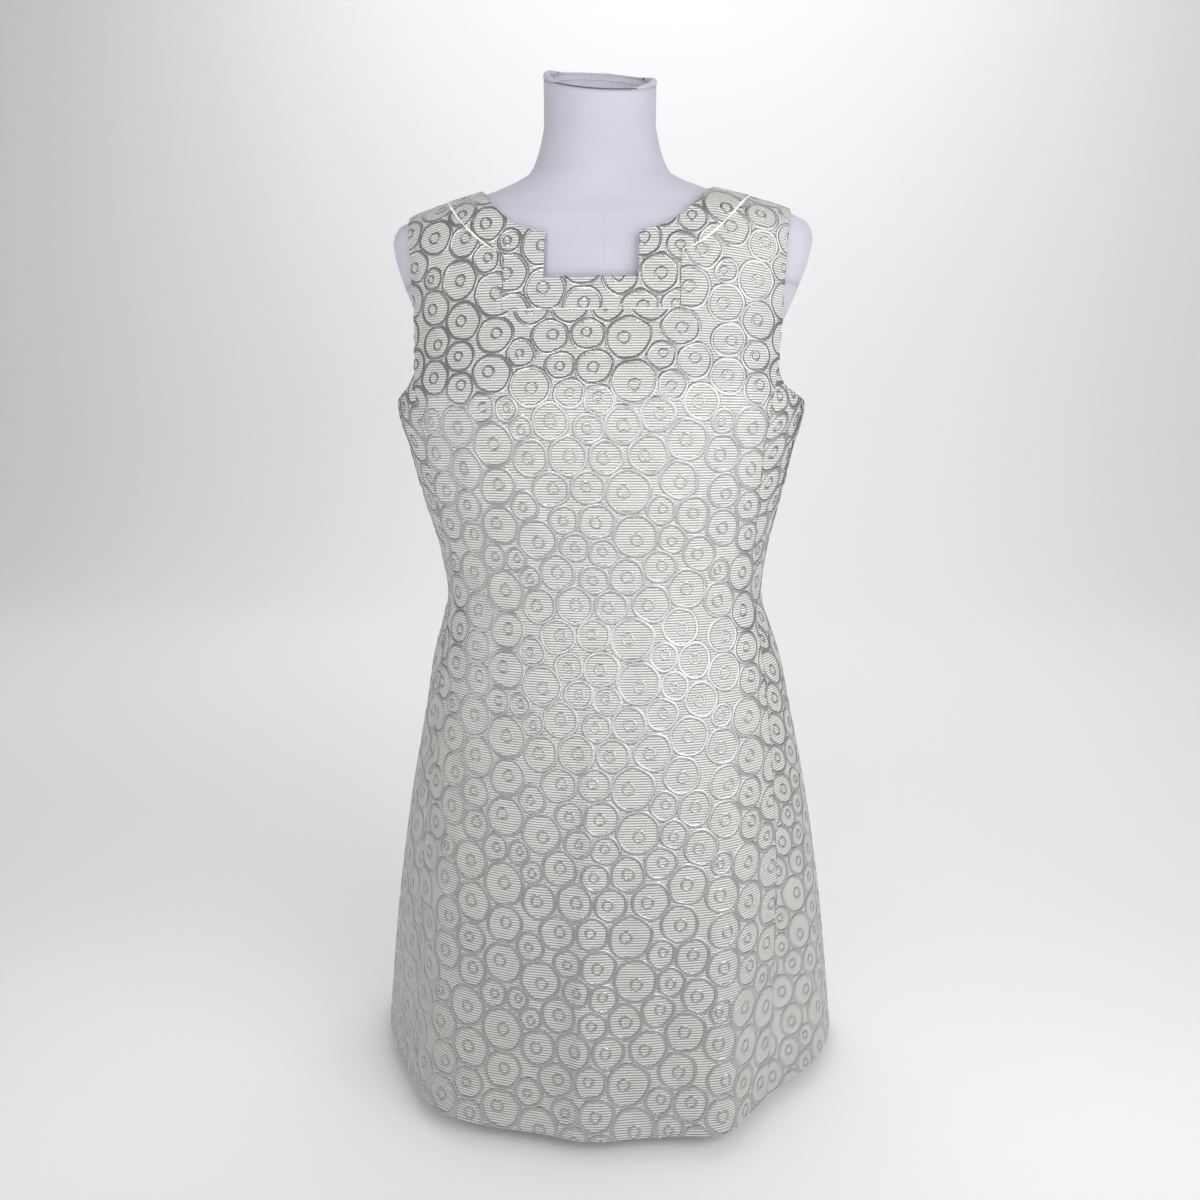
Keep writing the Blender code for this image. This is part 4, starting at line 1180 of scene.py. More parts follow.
@dataclass
class RingRepeat:
    """One repeat of the woven ring pattern: round cells that touch, each with a small ring inside.

    Discs of uneven size are pushed apart, round the repeat's edges too, until they just touch. A cell's
    outline in each direction is the soft least of its own radius and its share of the way to each neighbour.
    """

    width: float = 0.262
    height: float = 0.131
    count: int = 38
    seed: int = 11
    radii: tuple = (0.0098, 0.0122, 0.0140, 0.0152, 0.0162, 0.0174, 0.0188)
    chances: tuple = (0.10, 0.12, 0.17, 0.19, 0.18, 0.14, 0.10)
    presses: int = 1500                # rounds of pushing apart
    press_step: float = 0.22
    squareness: float = 14.0           # power of the soft least: more gives tighter corners
    line: float = 0.0038
    inner_line: float = 0.0027
    segments: int = 28
    inner_segments: int = 14
    centre: np.ndarray = field(init=False)
    outline: np.ndarray = field(init=False)
    inner_centre: np.ndarray = field(init=False)
    inner_radius: np.ndarray = field(init=False)

    def __post_init__(self) -> None:
        """Packs the discs and shapes the outlines."""
        rng = np.random.default_rng(self.seed)
        radius = rng.choice(self.radii, self.count, p=self.chances)
        self.centre = self.packed(rng.random((self.count, 2)) * self.size, radius)
        phase = rng.random((2, self.count, 1)) * FULL_TURN
        self.outline = self.cells(radius, phase) - self.line * 0.12
        drift = rng.random(self.count) * FULL_TURN
        reach = (radius * (0.04 + 0.18 * rng.random(self.count)))[:, None]
        self.inner_centre = self.centre + np.stack([np.cos(drift), np.sin(drift)], axis=-1) * reach
        self.inner_radius = np.clip(radius * 0.31, 0.0030, 0.0050) + rng.normal(0.0, 0.0002, self.count)

    @property
    def size(self) -> np.ndarray:
        """The repeat's width and height."""
        return np.array([self.width, self.height])

    def packed(self, centre: np.ndarray, radius: np.ndarray) -> np.ndarray:
        """Pushes the discs apart: each moves away from the others by a share of how much they overlap.

        Args:
            centre: (n, 2) first places of the discs.
            radius: (n,) their radii, a little enlarged in the first rounds.

        Returns:
            (n, 2) places inside the repeat.
        """
        alone = np.eye(self.count)
        for reach in np.linspace(1.12, 1.0, self.presses):
            apart = self.apart(centre)
            far = np.linalg.norm(apart, axis=-1) + alone
            press = np.clip((radius[:, None] + radius[None]) * reach - far, 0.0, None) * (1 - alone)
            centre += (apart / far[..., None] * press[..., None]).sum(axis=1) * self.press_step
        return centre % self.size

    def cells(self, radius: np.ndarray, phase: np.ndarray) -> np.ndarray:
        """The cells' outlines: (sum of way^-p)^(-1/p) over a wobbling radius and the ways to the neighbours.

        Args:
            radius: (n,) radii of the discs.
            phase: (2, n, 1) phases of the wobbles of two and three waves a turn.

        Returns:
            (n, segments) distances from the centres.
        """
        apart = self.apart(self.centre)
        square = (apart ** 2).sum(axis=-1) + np.eye(self.count)
        share = 0.5 + (radius[:, None] ** 2 - radius[None] ** 2) / (2 * square)
        toward = np.einsum("ijk,sk->ijs", -apart, compass(self.segments))
        way = np.where(toward > 1e-5, (share * square)[..., None] / np.maximum(toward, 1e-5), 1.0)
        way[np.arange(self.count), np.arange(self.count)] = 1.0
        way = np.clip(way, 0.004, 1.0)
        turn = turns(self.segments)
        wobble = 1 + 0.030 * np.sin(2 * turn + phase[0]) + 0.014 * np.sin(3 * turn + phase[1])
        own = radius[:, None] * wobble * 1.06
        least = (way ** -self.squareness).sum(axis=1) + own ** -self.squareness
        return least ** (-1 / self.squareness)

    def apart(self, centre: np.ndarray) -> np.ndarray:
        """The shortest way from every centre to every other, round the repeat's edges."""
        apart = centre[:, None] - centre[None]
        return apart - np.round(apart / self.size) * self.size

    def laid_over(self, low: np.ndarray, high: np.ndarray, shift: tuple) -> tuple:
        """Every ring that could touch a flat box.

        Args:
            low: the box's lowest (u, v).
            high: its highest.
            shift: where the repeat's corner lies.

        Returns:
            Lists of ring centres (n, 2), outline radii (n, segments), line widths and segment counts, for the
            cells and for the small rings.
        """
        first = np.floor((low - shift) / self.size).astype(int) - 1
        last = np.ceil((high - shift) / self.size).astype(int) + 1
        tiles = np.stack(np.meshgrid(*(np.arange(first[k], last[k]) for k in range(2))), -1).reshape(-1, 2)
        offset = (tiles * self.size + shift)[:, None]
        cells = (self.centre + offset).reshape(-1, 2)
        small = (self.inner_centre + offset).reshape(-1, 2)
        near = ((cells > low - 0.02) & (cells < high + 0.02)).all(axis=1)
        outline = np.tile(self.outline, (len(tiles), 1))[near]
        inner = np.tile(self.inner_radius, len(tiles))[near][:, None] * np.ones(self.inner_segments)
        return ((cells[near], outline, self.line), (small[near], inner, self.inner_line))


REPEAT = RingRepeat()


@dataclass
class RingRelief:
    """Raised ribbon along every ring of one cloth piece.

    Across a ribbon the height goes foot, shoulder, crest, shoulder, foot. Places that fall outside the piece
    move to the nearest place on its outline, and faces wholly outside are left out.
    """

    piece: ClothPiece
    shift: tuple
    across: tuple = (-0.5, -0.34, 0.0, 0.34, 0.5)
    heights: tuple = (-0.00012, 0.00030, 0.00038, 0.00030, -0.00012)
    # 1 at the feet, where the satin finish paints shade along the ribbon's borders
    edges: tuple = (1.0, 0.0, 0.0, 0.0, 1.0)

    def build(self, name: str) -> bpy.types.Object:
        """Lays both kinds of ring over the piece and makes one mesh of them.

        Args:
            name: the mesh's and the object's name.

        Returns:
            The rings' object.
        """
        ends = np.concatenate([self.piece.edge.start, self.piece.edge.end])
        points, faces, uvs, edges, start = [], [], [], [], 0
        for centre, outline, line in REPEAT.laid_over(ends.min(axis=0), ends.max(axis=0), self.shift):
            uv, kept = self.ribbons(centre, outline, line)
            if not len(kept):
                continue
            flat = uv.reshape(-1, 2)
            count = len(flat) // len(self.across)
            points.append(self.piece.chart.place(flat, np.tile(self.heights, count) + self.piece.lift))
            edges.append(np.tile(self.edges, count))
            uvs.append(flat)
            faces.append(kept + start)
            start += len(flat)
        used, faces = np.unique(np.concatenate(faces), return_inverse=True)
        points, uvs, edges = (np.concatenate(part)[used] for part in (points, uvs, edges))
        return new_object(name, make_mesh(name, points, faces.reshape(-1, 4), uvs, edges))

    def ribbons(self, centre: np.ndarray, outline: np.ndarray, line: float) -> tuple:
        """The ribbons' flat places and their faces.

        Args:
            centre: (n, 2) ring centres.
            outline: (n, segments) distances of the line's middle.
            line: the line's width.

        Returns:
            Flat places (n, segments, 5, 2) and faces (m, 4).
        """
        _, gap = self.piece.edge.nearest(centre)
        within = self.piece.edge.holds(centre)
        reach = outline.max(axis=1) + line
        keep = within | (gap < reach)
        centre, outline, whole = centre[keep], outline[keep], (within & (gap > reach))[keep]
        rings, segments = outline.shape
        if not rings:
            return np.zeros((0, 0, 0, 2)), np.zeros((0, 4), int)
        radius = outline[..., None] + line * np.array(self.across)
        uv = centre[:, None, None] + radius[..., None] * compass(segments)[None, :, None]
        outside = np.zeros(uv.shape[:3], bool)
        near = np.where(~whole)[0]
        flat = uv[near].reshape(-1, 2)
        out = ~self.piece.edge.holds(flat)
        moved, _ = self.piece.edge.nearest(flat[out])
        flat[out] = moved
        uv[near] = flat.reshape(uv[near].shape)
        outside[near] = out.reshape(outside[near].shape)
        index = np.arange(outside.size).reshape(outside.shape)
        index = np.concatenate([index, index[:, :1]], axis=1)
        faces = grid_faces(index, self.piece.chart.side is BACK)
        return uv, faces[~outside.reshape(-1)[faces].all(axis=1)]


# ------------------------------------------------------------------ finishes

Value = Union["Num", float]


class Num:
    """A number socket that takes Python's operators, each of which adds a Math node."""

    def __init__(self, finish: "Finish", socket: bpy.types.NodeSocket) -> None:
        """Wraps a socket of a finish's tree."""
        self.finish = finish
        self.socket = socket

    def math(self, operation: str, *values: Value, clamp: bool = False) -> "Num":
        """A Math node over this and other values."""
        return self.finish.math(operation, self, *values, clamp=clamp)

    def __add__(self, other: Value) -> "Num":
        """This plus a value."""
        return self.math("ADD", other)

    __radd__ = __add__

    def __sub__(self, other: Value) -> "Num":
        """This minus a value."""
        return self.math("SUBTRACT", other)

    def __rsub__(self, other: Value) -> "Num":
        """A value minus this."""
        return self.finish.math("SUBTRACT", other, self)

    def __mul__(self, other: Value) -> "Num":
        """This times a value."""
        return self.math("MULTIPLY", other)

    __rmul__ = __mul__

    def __pow__(self, other: Value) -> "Num":
        """This to a power."""
        return self.math("POWER", other)

    def wave(self, length: float) -> "Num":
        """0.5 + 0.5 sin of this distance, one wave in each length."""
        return (self * (FULL_TURN / length)).math("SINE") * 0.5 + 0.5

    def bounded(self) -> "Num":
        """This kept between 0 and 1."""
        return self.math("ADD", 0.0, clamp=True)


class Finish:
    """A procedural material under construction."""

    def __init__(self, name: str) -> None:
        """Starts a material with a Principled shader and its output.

        Args:
            name: the material's name.
        """
        self.material = bpy.data.materials.new(name)
        self.material.use_nodes = True
        self.tree = self.material.node_tree
        self.shader = self.tree.nodes["Principled BSDF"]

    def node(self, kind: str, settings: dict | None = None, inputs: dict | None = None) -> bpy.types.Node:
        """Adds a node, sets its settings, then its sockets.

        Args:
            kind: the node's type, without "ShaderNode".
            settings: its properties.
            inputs: socket name or number to a value, a Num or a socket.

        Returns:
            The node.
        """
        made = self.tree.nodes.new("ShaderNode" + kind)
        for key, value in (settings or {}).items():
            setattr(made, key, value)
        for key, value in (inputs or {}).items():
            self.feed(made.inputs[key], value)
        return made

    def feed(self, socket: bpy.types.NodeSocket, value: object) -> None:
        """Links or sets a socket.

        Args:
            socket: the socket to fill.
            value: a value, a Num or a socket.
        """
        if isinstance(value, Num):
            value = value.socket
        if isinstance(value, bpy.types.NodeSocket):
            self.tree.links.new(value, socket)
        elif isinstance(value, tuple) and len(value) == 3 and socket.type == "RGBA":
            socket.default_value = (*value, 1.0)
        else:
            socket.default_value = value

    def math(self, operation: str, *values: Value, clamp: bool = False) -> Num:
        """A Math node over the values."""
        made = self.node("Math", {"operation": operation, "use_clamp": clamp}, dict(enumerate(values)))
        return Num(self, made.outputs[0])

    def mix(self, share: Value, first: object, second: object, blend: str = "MIX") -> bpy.types.NodeSocket:
        """A colour between two colours, or one laid over the other as the blend says."""
        made = self.node("Mix", {"data_type": "RGBA", "blend_type": blend}, {0: share, 6: first, 7: second})
        return made.outputs[2]

    def noise(self, where: object, scale: float, detail: float = 2.0, roughness: float = 0.5) -> Num:
        """A noise value at a vector.

        Args:
            where: the vector.
            scale: lumps in a metre.
            detail: octaves.
            roughness: strength of the finer octaves.

        Returns:
            The noise, around 0.5.
        """
        made = self.node("TexNoise", {"noise_dimensions": "3D"},
                         {"Vector": where, "Scale": scale, "Detail": detail, "Roughness": roughness})
        return Num(self, made.outputs["Fac"])

    def stretched(self, where: object, scale: tuple) -> bpy.types.NodeSocket:
        """A vector scaled along its axes."""
        return self.node("VectorMath", {"operation": "MULTIPLY"}, {0: where, 1: scale}).outputs[0]

    def object_place(self) -> bpy.types.NodeSocket:
        """The place on the object, in metres."""
        return self.node("TexCoord").outputs["Object"]

    def flat_place(self) -> bpy.types.NodeSocket:
        """The place on the flat cloth, in metres."""
        return self.node("UVMap", {"uv_map": "Flat"}).outputs[0]

    def parts(self, vector: bpy.types.NodeSocket) -> tuple:
        """The three numbers of a vector."""
        made = self.node("SeparateXYZ", inputs={0: vector})
        return tuple(Num(self, made.outputs[k]) for k in range(3))

    def bump(self, height: Num, distance: float) -> bpy.types.NodeSocket:
        """A normal bent by a height map, whose 1 stands for a distance in metres."""
        return self.node("Bump", inputs={"Strength": 1.0, "Distance": distance, "Height": height}).outputs[0]

    def surface(self, **sockets: object) -> None:
        """Feeds the shader: an underscore in a name stands for a space."""
        for key, value in sockets.items():
            self.feed(self.shader.inputs[key.replace("_", " ")], value)

    def wear(self, *objects: bpy.types.Object) -> None:
        """Puts this finish on objects, in place of what they had.

        Args:
            objects: the objects.
        """
        for made in objects:
            made.data.materials.clear()
            made.data.materials.append(self.material)


def dimmed(colour: tuple, share: float) -> tuple:
    """A darker colour, by the share of light that is left."""
    return tuple(c * share for c in colour)


@dataclass(frozen=True)
class BrocadeGround:
    """The ribbed ground: cream ribs across the cloth, with grey in the grooves between them that is partly
    grey thread and partly painted shade.
    """

    name: str
    rib: float = 0.0023
    relief: float = 0.00032
    cream: tuple = (0.880, 0.866, 0.820)
    # grey of the grooves between the ribs: partly the cloth's grey thread, partly painted shade
    grey: tuple = (0.215, 0.215, 0.210)

    def make(self) -> Finish:
        """Ribs from v, broken into threads along u, with slow uneven shading.

        Returns:
            The finish.
        """
        finish = Finish(self.name)
        flat = finish.flat_place()
        _, v, _ = finish.parts(flat)
        slub = finish.noise(finish.stretched(flat, (160.0, 900.0, 0.0)), 1.0, 1.0)
        thread = finish.noise(finish.stretched(flat, (1500.0, 460.0, 0.0)), 1.0, 2.0, 0.6)
        rib = (v + (slub - 0.5) * 0.0004).wave(self.rib)
        mottle = finish.noise(flat, 34.0, 3.0, 0.6)
        tint = finish.noise(flat, 11.0, 1.0)
        # the grey falls where the rib bump is lowest, in the grooves: partly grey thread, partly painted
        # shade
        light = (rib ** 0.7 * 0.95 + thread * 0.60 + mottle * 0.25 - 0.40).bounded()
        base = finish.mix(light, self.grey, self.cream)
        warm = finish.mix(((tint - 0.35) * 2.2).bounded(), (0.97, 0.98, 1.0), (1.0, 0.98, 0.94))
        finish.surface(Base_Color=finish.mix(1.0, base, warm, "MULTIPLY"), Roughness=0.50 + thread * 0.2,
                       Normal=finish.bump(rib * 0.8 + thread * 0.5, self.relief))
        finish.surface(Sheen_Weight=0.08, Sheen_Roughness=0.4, Specular_IOR_Level=0.35)
        return finish


@dataclass(frozen=True)
class SatinRing:
    """The raised satin floats of the rings, with painted shade in dashes along both borders."""

    name: str = "ring_satin"
    float_pitch: float = 0.0011
    bright: tuple = (0.560, 0.560, 0.555)
    # painted shade along the rings' borders, mixed in where the attribute edge is high
    dark: tuple = (0.050, 0.050, 0.049)

    def make(self) -> Finish:
        """Fine floats across the cloth from v; the attribute edge paints shade in dashes along both borders.

        Returns:
            The finish.
        """
        finish = Finish(self.name)
        flat = finish.flat_place()
        _, v, _ = finish.parts(flat)
        edge = Num(finish, finish.node("Attribute", {"attribute_name": "edge"}).outputs["Fac"])
        thread = finish.noise(finish.stretched(flat, (700.0, 2100.0, 0.0)), 1.0, 2.0, 0.6)
        dash = finish.noise(finish.stretched(flat, (900.0, 900.0, 0.0)), 1.0, 0.0)
        floats = v.wave(self.float_pitch)
        # painted shade: dark dashes along both borders of each ribbon
        painted_border_shade = (edge * 3.0 + (dash - 0.5) * 1.6 - 1.0).bounded()
        body = finish.mix((thread * 0.9 - 0.1).bounded(), dimmed(self.bright, 0.8), self.bright)
        finish.surface(Base_Color=finish.mix(painted_border_shade * 0.85, body, self.dark),
                       Roughness=0.22 + thread * 0.08,
                       Normal=finish.bump(floats * 0.7 + thread * 0.5, 0.00010))
        finish.surface(Metallic=0.90, Specular_IOR_Level=0.5)
        return finish


@dataclass(frozen=True)
class Jersey:
    """The form's cover: fine knit, pale lavender grey."""

    name: str
    colour: tuple = (0.640, 0.640, 0.715)
    shade: tuple = (0.555, 0.555, 0.630)
    stitch: float = 0.0009

    def make(self) -> Finish:
        """Knit wales and courses as crossed fine waves, with a soft uneven tone.

        Returns:
            The finish.
        """
        finish = Finish(self.name)
        place = finish.object_place()
        x, y, z = finish.parts(place)
        wales = (x + y * 0.6).wave(self.stitch)
        courses = z.wave(self.stitch)
        fuzz = finish.noise(place, 900.0, 2.0)
        tone = finish.noise(place, 22.0, 2.0)
        light = (tone * 0.9 + fuzz * 0.3 - 0.1).bounded()
        finish.surface(Base_Color=finish.mix(light, self.shade, self.colour), Roughness=0.82 + fuzz * 0.1,
                       Normal=finish.bump(wales * 0.5 + courses * 0.5 + fuzz * 0.5, 0.00008))
        finish.surface(Sheen_Weight=0.25, Sheen_Roughness=0.5, Specular_IOR_Level=0.25)
        return finish


@dataclass(frozen=True)
class Metal:
    """Plated or brushed metal."""

    name: str
    colour: tuple
    roughness: float
    grain: tuple = (60.0, 60.0, 900.0)

    def make(self) -> Finish:
        """Fine grain along one axis in the roughness and a faint relief.

        Returns:
            The finish.
        """
        finish = Finish(self.name)
        place = finish.object_place()
        grain = finish.noise(finish.stretched(place, self.grain), 1.0, 3.0)
        wear = finish.noise(place, 45.0, 2.0)
        dim = dimmed(self.colour, 0.82)
        finish.surface(Base_Color=finish.mix((wear * 1.4 - 0.3).bounded(), dim, self.colour),
                       Roughness=self.roughness + grain * 0.14,
                       Normal=finish.bump(grain, 0.00002))
        finish.surface(Metallic=1.0)
        return finish


@dataclass(frozen=True)
class Woven:
    """Plain woven cloth: zip tape and sewing thread."""

    name: str
    colour: tuple
    pitch: float = 0.0006

    def make(self) -> Finish:
        """A small herringbone of crossed waves over the object's place.

        Returns:
            The finish.
        """
        finish = Finish(self.name)
        place = finish.object_place()
        x, _, z = finish.parts(place)
        zigzag = (x.math("PINGPONG", 0.002) + z).wave(self.pitch)
        fuzz = finish.noise(place, 1400.0, 1.0)
        dim = dimmed(self.colour, 0.8)
        finish.surface(Base_Color=finish.mix((zigzag * 0.7 + fuzz * 0.4).bounded(), dim, self.colour),
                       Roughness=0.8 + fuzz * 0.1,
                       Normal=finish.bump(zigzag + fuzz * 0.4, 0.00006))
        finish.surface(Specular_IOR_Level=0.25)
        return finish


@dataclass(frozen=True)
class Plain:
    """A plain matte surface, which may glow a little: the studio, the zip's coil, and the band's fold, whose
    near-white glow is a painted highlight.
    """

    name: str
    colour: tuple
    glow: float = 0.0

    def make(self) -> Finish:
        """A very faint tone over the object's place.

        Returns:
            The finish.
        """
        finish = Finish(self.name)
        tone = finish.noise(finish.object_place(), 2.0, 1.0)
        finish.surface(Base_Color=finish.mix(tone, dimmed(self.colour, 0.985), self.colour), Roughness=0.9)
        finish.surface(Specular_IOR_Level=0.1, Emission_Color=self.colour, Emission_Strength=self.glow)
        return finish


# ------------------------------------------------------------------ the sub-assemblies


@dataclass
class Dress:
    """The dress: six pieces of brocade, each with its rings."""

    front: Chart
    back: Chart
    panel_shift: tuple = (0.030, 0.012)        # where the ring repeat's corner lies on each piece
    front_shift: tuple = (-0.020, 0.012)
    band_shift: tuple = (0.055, 0.037)
    band_left_shift: tuple = (0.080, 0.061)
    band_right_shift: tuple = (0.145, 0.020)

    def build(self) -> None:
        """Builds and dresses every piece of cloth and its rings."""
        cut = DressCut(self.front, self.back)
        pieces = (
            (cut.front_panel(), self.front_shift),
            (cut.back_panel("back_cloth_left", "back_panel_left", 1), self.panel_shift),
            (cut.back_panel("back_cloth_right", "back_panel_right", -1), self.panel_shift),
            (cut.front_band(), self.band_shift),
            (cut.back_band("band_back_left", "neck_band_back_left", 1), self.band_left_shift),
            (cut.back_band("band_back_right", "neck_band_back_right", -1), self.band_right_shift),
        )
        ground, satin = BrocadeGround("brocade_ground").make(), SatinRing().make()
        for piece, shift in pieces:
            cloth = piece.build()
            rings = RingRelief(piece, shift).build(piece.name + "_rings")
            ground.wear(cloth)
            satin.wear(rings)
            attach(cloth, BODY)
            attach(rings, BODY)
            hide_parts(piece.node)
            if piece.name == "band_front_cloth":
                fold = cut.band_fold()
                # the fold's near-white colour and its glow are a painted highlight along the band's turned
                # edge
                Plain("seam_fold_painted_highlight", (0.97, 0.96, 0.92), 0.10).make().wear(fold)
                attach(fold, BODY)
            log.info("%s: flat %.3f x %.3f m, %.4f m2, rings %d faces", piece.name, *piece.flat_size,
                     piece.flat_area, len(rings.data.polygons))


@dataclass
class DressForm:
    """The limbless form: a jersey cover over torso, arm stubs and neck, open at the top."""

    rim_front: float = 0.904
    rim_back: float = 0.948
    rim_rise: float = 0.0015         # how far the cloth stands over the neck's back edge
    rim_lean: float = 0.095          # fall of the neck's top towards the wearer's left
    neck_wall: float = 0.0055
    neck_half: float = 0.051
    lip: float = 0.0012              # how far the neck's top edge is rounded
    pocket_floor: float = 0.866
    pocket_taper: float = 0.82
    sides: int = 128
    step: float = 0.007
    seam_radius: float = 0.0011
    seam_sunk: float = 0.00085       # how deep a seam's round profile lies in the cover
    neck_seam: float = 0.84
    centre_seam_foot: float = 0.60
    centre_seam_x: float = 0.011     # the front's centre seam lies a little to the wearer's left
    roll_least: float = 0.0008       # radius of the rolled edge where it is flat, and what the roll adds
    roll_most: float = 0.0026
    roll_lift: float = 0.0018        # how far a full roll stands over the neck's top
    # radius of the dark tube that paints the shadow along the neck's front edge
    edge_radius: float = 0.00055
    stitch_count: int = 78
    stitch_reach: float = 0.018      # half a stitch, as an angle
    stitch_drop: float = 0.0040
    stitch_radius: float = 0.00078
    stitch_inset: float = 0.0008
    pin_turns: tuple = (0.93, 5.25)
    pin_radius: float = 0.0014

    def neck_cut(self, points: np.ndarray) -> np.ndarray:
        """Height of the neck's sloping top: a plane, tilted forwards and a little sideways.

        Args:
            points: (..., 3) places in the figure's frame.

        Returns:
            The top's height over each place.
        """
        front, back = (float(FORM_FIGURE.size(name, np.array(self.rim_back))) for name in ("front", "back"))
        rise = self.rim_back + self.rim_rise - self.rim_front
        slope = rise * (points[..., 1] + front) / (front + back)
        return self.rim_front + slope - self.rim_lean * points[..., 0]

    def build(self) -> None:
        """Builds the cover, its seams, the stitched rim and the pins."""
        jersey = Jersey("jersey_cover").make()
        rolled = Jersey("jersey_rim", colour=(0.66, 0.66, 0.735), shade=(0.57, 0.57, 0.645)).make()
        thread = Woven("white_thread", (0.97, 0.97, 0.98)).make()
        pin = Metal("pin_metal", (0.10, 0.10, 0.13), 0.40).make()
        # a dark tube along the neck's front edge that paints the shadow in the gap there
        cut = Woven("painted_gap_shadow", (0.16, 0.16, 0.20)).make()
        cover, seams, rim = self.cover(), self.seams(), self.rim()
        worn = ((cover, jersey), (seams, jersey), (rim, rolled), (self.rim_stitches(), thread),
                (self.pins(), pin), (self.rim_painted_shadow(), cut))
        for piece, finish in worn:
            finish.wear(piece)
            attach(piece, BODY)
        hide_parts("form_torso")
        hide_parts("form_neck_rim")
        log.info("form: %d pieces, cover %d faces", len(worn), len(cover.data.polygons))

    def cover(self) -> bpy.types.Object:
        """Rings of the form's sections, on over the neck's edge and down into its pocket.

        Returns:
            The cover's object.
        """
        heights = np.arange(FORM[0].height, FORM[-1].height, self.step)
        heights = np.unique(np.concatenate([heights, [section.height for section in FORM]]))
        rings = [FORM_FIGURE.ring(turns(self.sides), np.full(self.sides, height)) for height in heights]
        neck = rings[-1]
        rise = self.neck_cut(neck) - neck[:, 2]
        for share in np.linspace(0.0, 1.0, 9)[1:-1]:
            rings.append(neck + np.outer(rise * share, (0.0, 0.0, 1.0)))
        for inset, drop in ((0.0, 0.0), (0.25, 0.3), (0.6, 0.0), (1.0, 0.0), (1.5, 0.5)):
            ring = self.narrowed(neck, inset / 2)
            ring[:, 2] = self.neck_cut(ring) - drop * self.lip
            rings.append(ring)
        top = self.narrowed(neck, 1.0)
        top[:, 2] = self.neck_cut(top) - 2 * self.lip
        floor = neck * (self.pocket_taper, self.pocket_taper, 0.0) + (0.0, 0.0, self.pocket_floor)
        for share in np.linspace(0.0, 1.0, 7):
            rings.append(top * (1 - share) + floor * share)
        mesh = loft("form_cover", np.array(rings) + PLACE, turned=True, cap_first=True, cap_last=True)
        return new_object("form_cover", mesh)

    def narrowed(self, ring: np.ndarray, share: float) -> np.ndarray:
        """A ring of the neck drawn in by a share of its wall's thickness."""
        left = 1 - share * self.neck_wall / self.neck_half
        return ring * (left, left, 1.0)

    def top_ring(self, turn: np.ndarray, inset: float, lift: np.ndarray | float) -> np.ndarray:
        """A run round the neck's sloping top.

        Args:
            turn: the angle of each point.
            inset: how far it is drawn in, as a share of the neck's wall.
            lift: height over the top.

        Returns:
            (n, 3) points in the figure's frame.
        """
        path = self.narrowed(FORM_FIGURE.ring(turn, np.full_like(turn, self.rim_back)), inset)
        path[:, 2] = self.neck_cut(path) + lift
        return path

    def seams(self) -> bpy.types.Object:
        """The cover's seams as low flat ridges: round the neck's base, and down the centre of both sides.

        Returns:
            The seams' object.
        """
        turn = turns(120)
        level = FORM_FIGURE.ring(turn, np.full_like(turn, self.neck_seam))
        parts = [self.ridge(FORM_FIGURE.ring(turn, 0.835 + 0.16 * (level[:, 1] + 0.057)), True)]
        for side, x, top in ((FRONT, self.centre_seam_x, 0.832), (BACK, 0.0, 0.850)):
            heights = np.linspace(self.centre_seam_foot, top, 60)
            parts.append(self.ridge(FORM_FIGURE.on_side(np.full_like(heights, x), heights, side), False))
        return joined_piece("form_seams", *parts)

    def ridge(self, path: np.ndarray, closed: bool) -> tuple:
        """A flat low ridge along a path: the round profile is sunk until only its crest shows."""
        out = FORM_FIGURE.outward(path)
        return tube(path - out * self.seam_sunk + PLACE, self.seam_radius, 8, closed)

    def roll(self, turn: np.ndarray) -> np.ndarray:
        """How thick the edge is rolled at each angle: full at the sides, a little behind, none in front."""
        return np.maximum(np.abs(np.sin(turn)) ** 5, 0.10 * np.clip(np.cos(turn), 0.0, 1.0))

    def rim(self) -> bpy.types.Object:
        """The rolled edge of the cover: a tube round the neck's top, slightly uneven.

        Returns:
            The rim's object.
        """
        turn = turns(144)
        roll = self.roll(turn)
        radius = self.roll_least + self.roll_most * roll + 0.00010 * np.sin(9 * turn + 0.6)
        path = self.top_ring(turn, 0.5, 0.0003 + self.roll_lift * roll)
        return joined_piece("form_rim", tube(path + PLACE, radius, 14, True))

    def rim_painted_shadow(self) -> bpy.types.Object:
        """A dark tube along the front of the neck's top: a painted shadow in the gap between the cover's edge
        and the neck's inside.
        """
        path = self.top_ring(math.pi + np.linspace(-1.25, 1.25, 61), 0.35, 0.0009)
        return joined_piece("form_rim_painted_shadow", tube(path + PLACE, self.edge_radius, 8))

    def rim_stitches(self) -> bpy.types.Object:
        """Short running stitches inside the neck, under the rolled edge.

        Returns:
            The stitches' object.
        """
        inset = 1 + self.stitch_inset / self.neck_wall
        radius = self.stitch_radius * rounded_ends(5, 0.05)
        reach = np.linspace(-self.stitch_reach, self.stitch_reach, 5)
        return joined_piece("form_rim_stitches", *(
            tube(self.top_ring(turn + reach, inset, -self.stitch_drop) + PLACE, radius, 5)
            for turn in turns(self.stitch_count)))

    def pins(self) -> bpy.types.Object:
        """Two small dark pin heads pushed into the rolled edge, behind its corners.

        Returns:
            The pins' object.
        """
        radius = self.pin_radius * rounded_ends(7, 0.02)
        shank = np.outer(np.linspace(-0.0012, 0.0006, 7), (0.0, -0.6, 0.8))
        parts = []
        for turn in self.pin_turns:
            roll = float(self.roll(np.array(turn)))
            head = self.top_ring(np.array([turn]), 0.5, 0.0004 + self.roll_lift * roll)
            head[:, 1] -= (self.roll_least + self.roll_most * roll) * 1.3
            parts.append(tube(head + shank + PLACE, radius, 10))
        return joined_piece("form_pins", *parts)


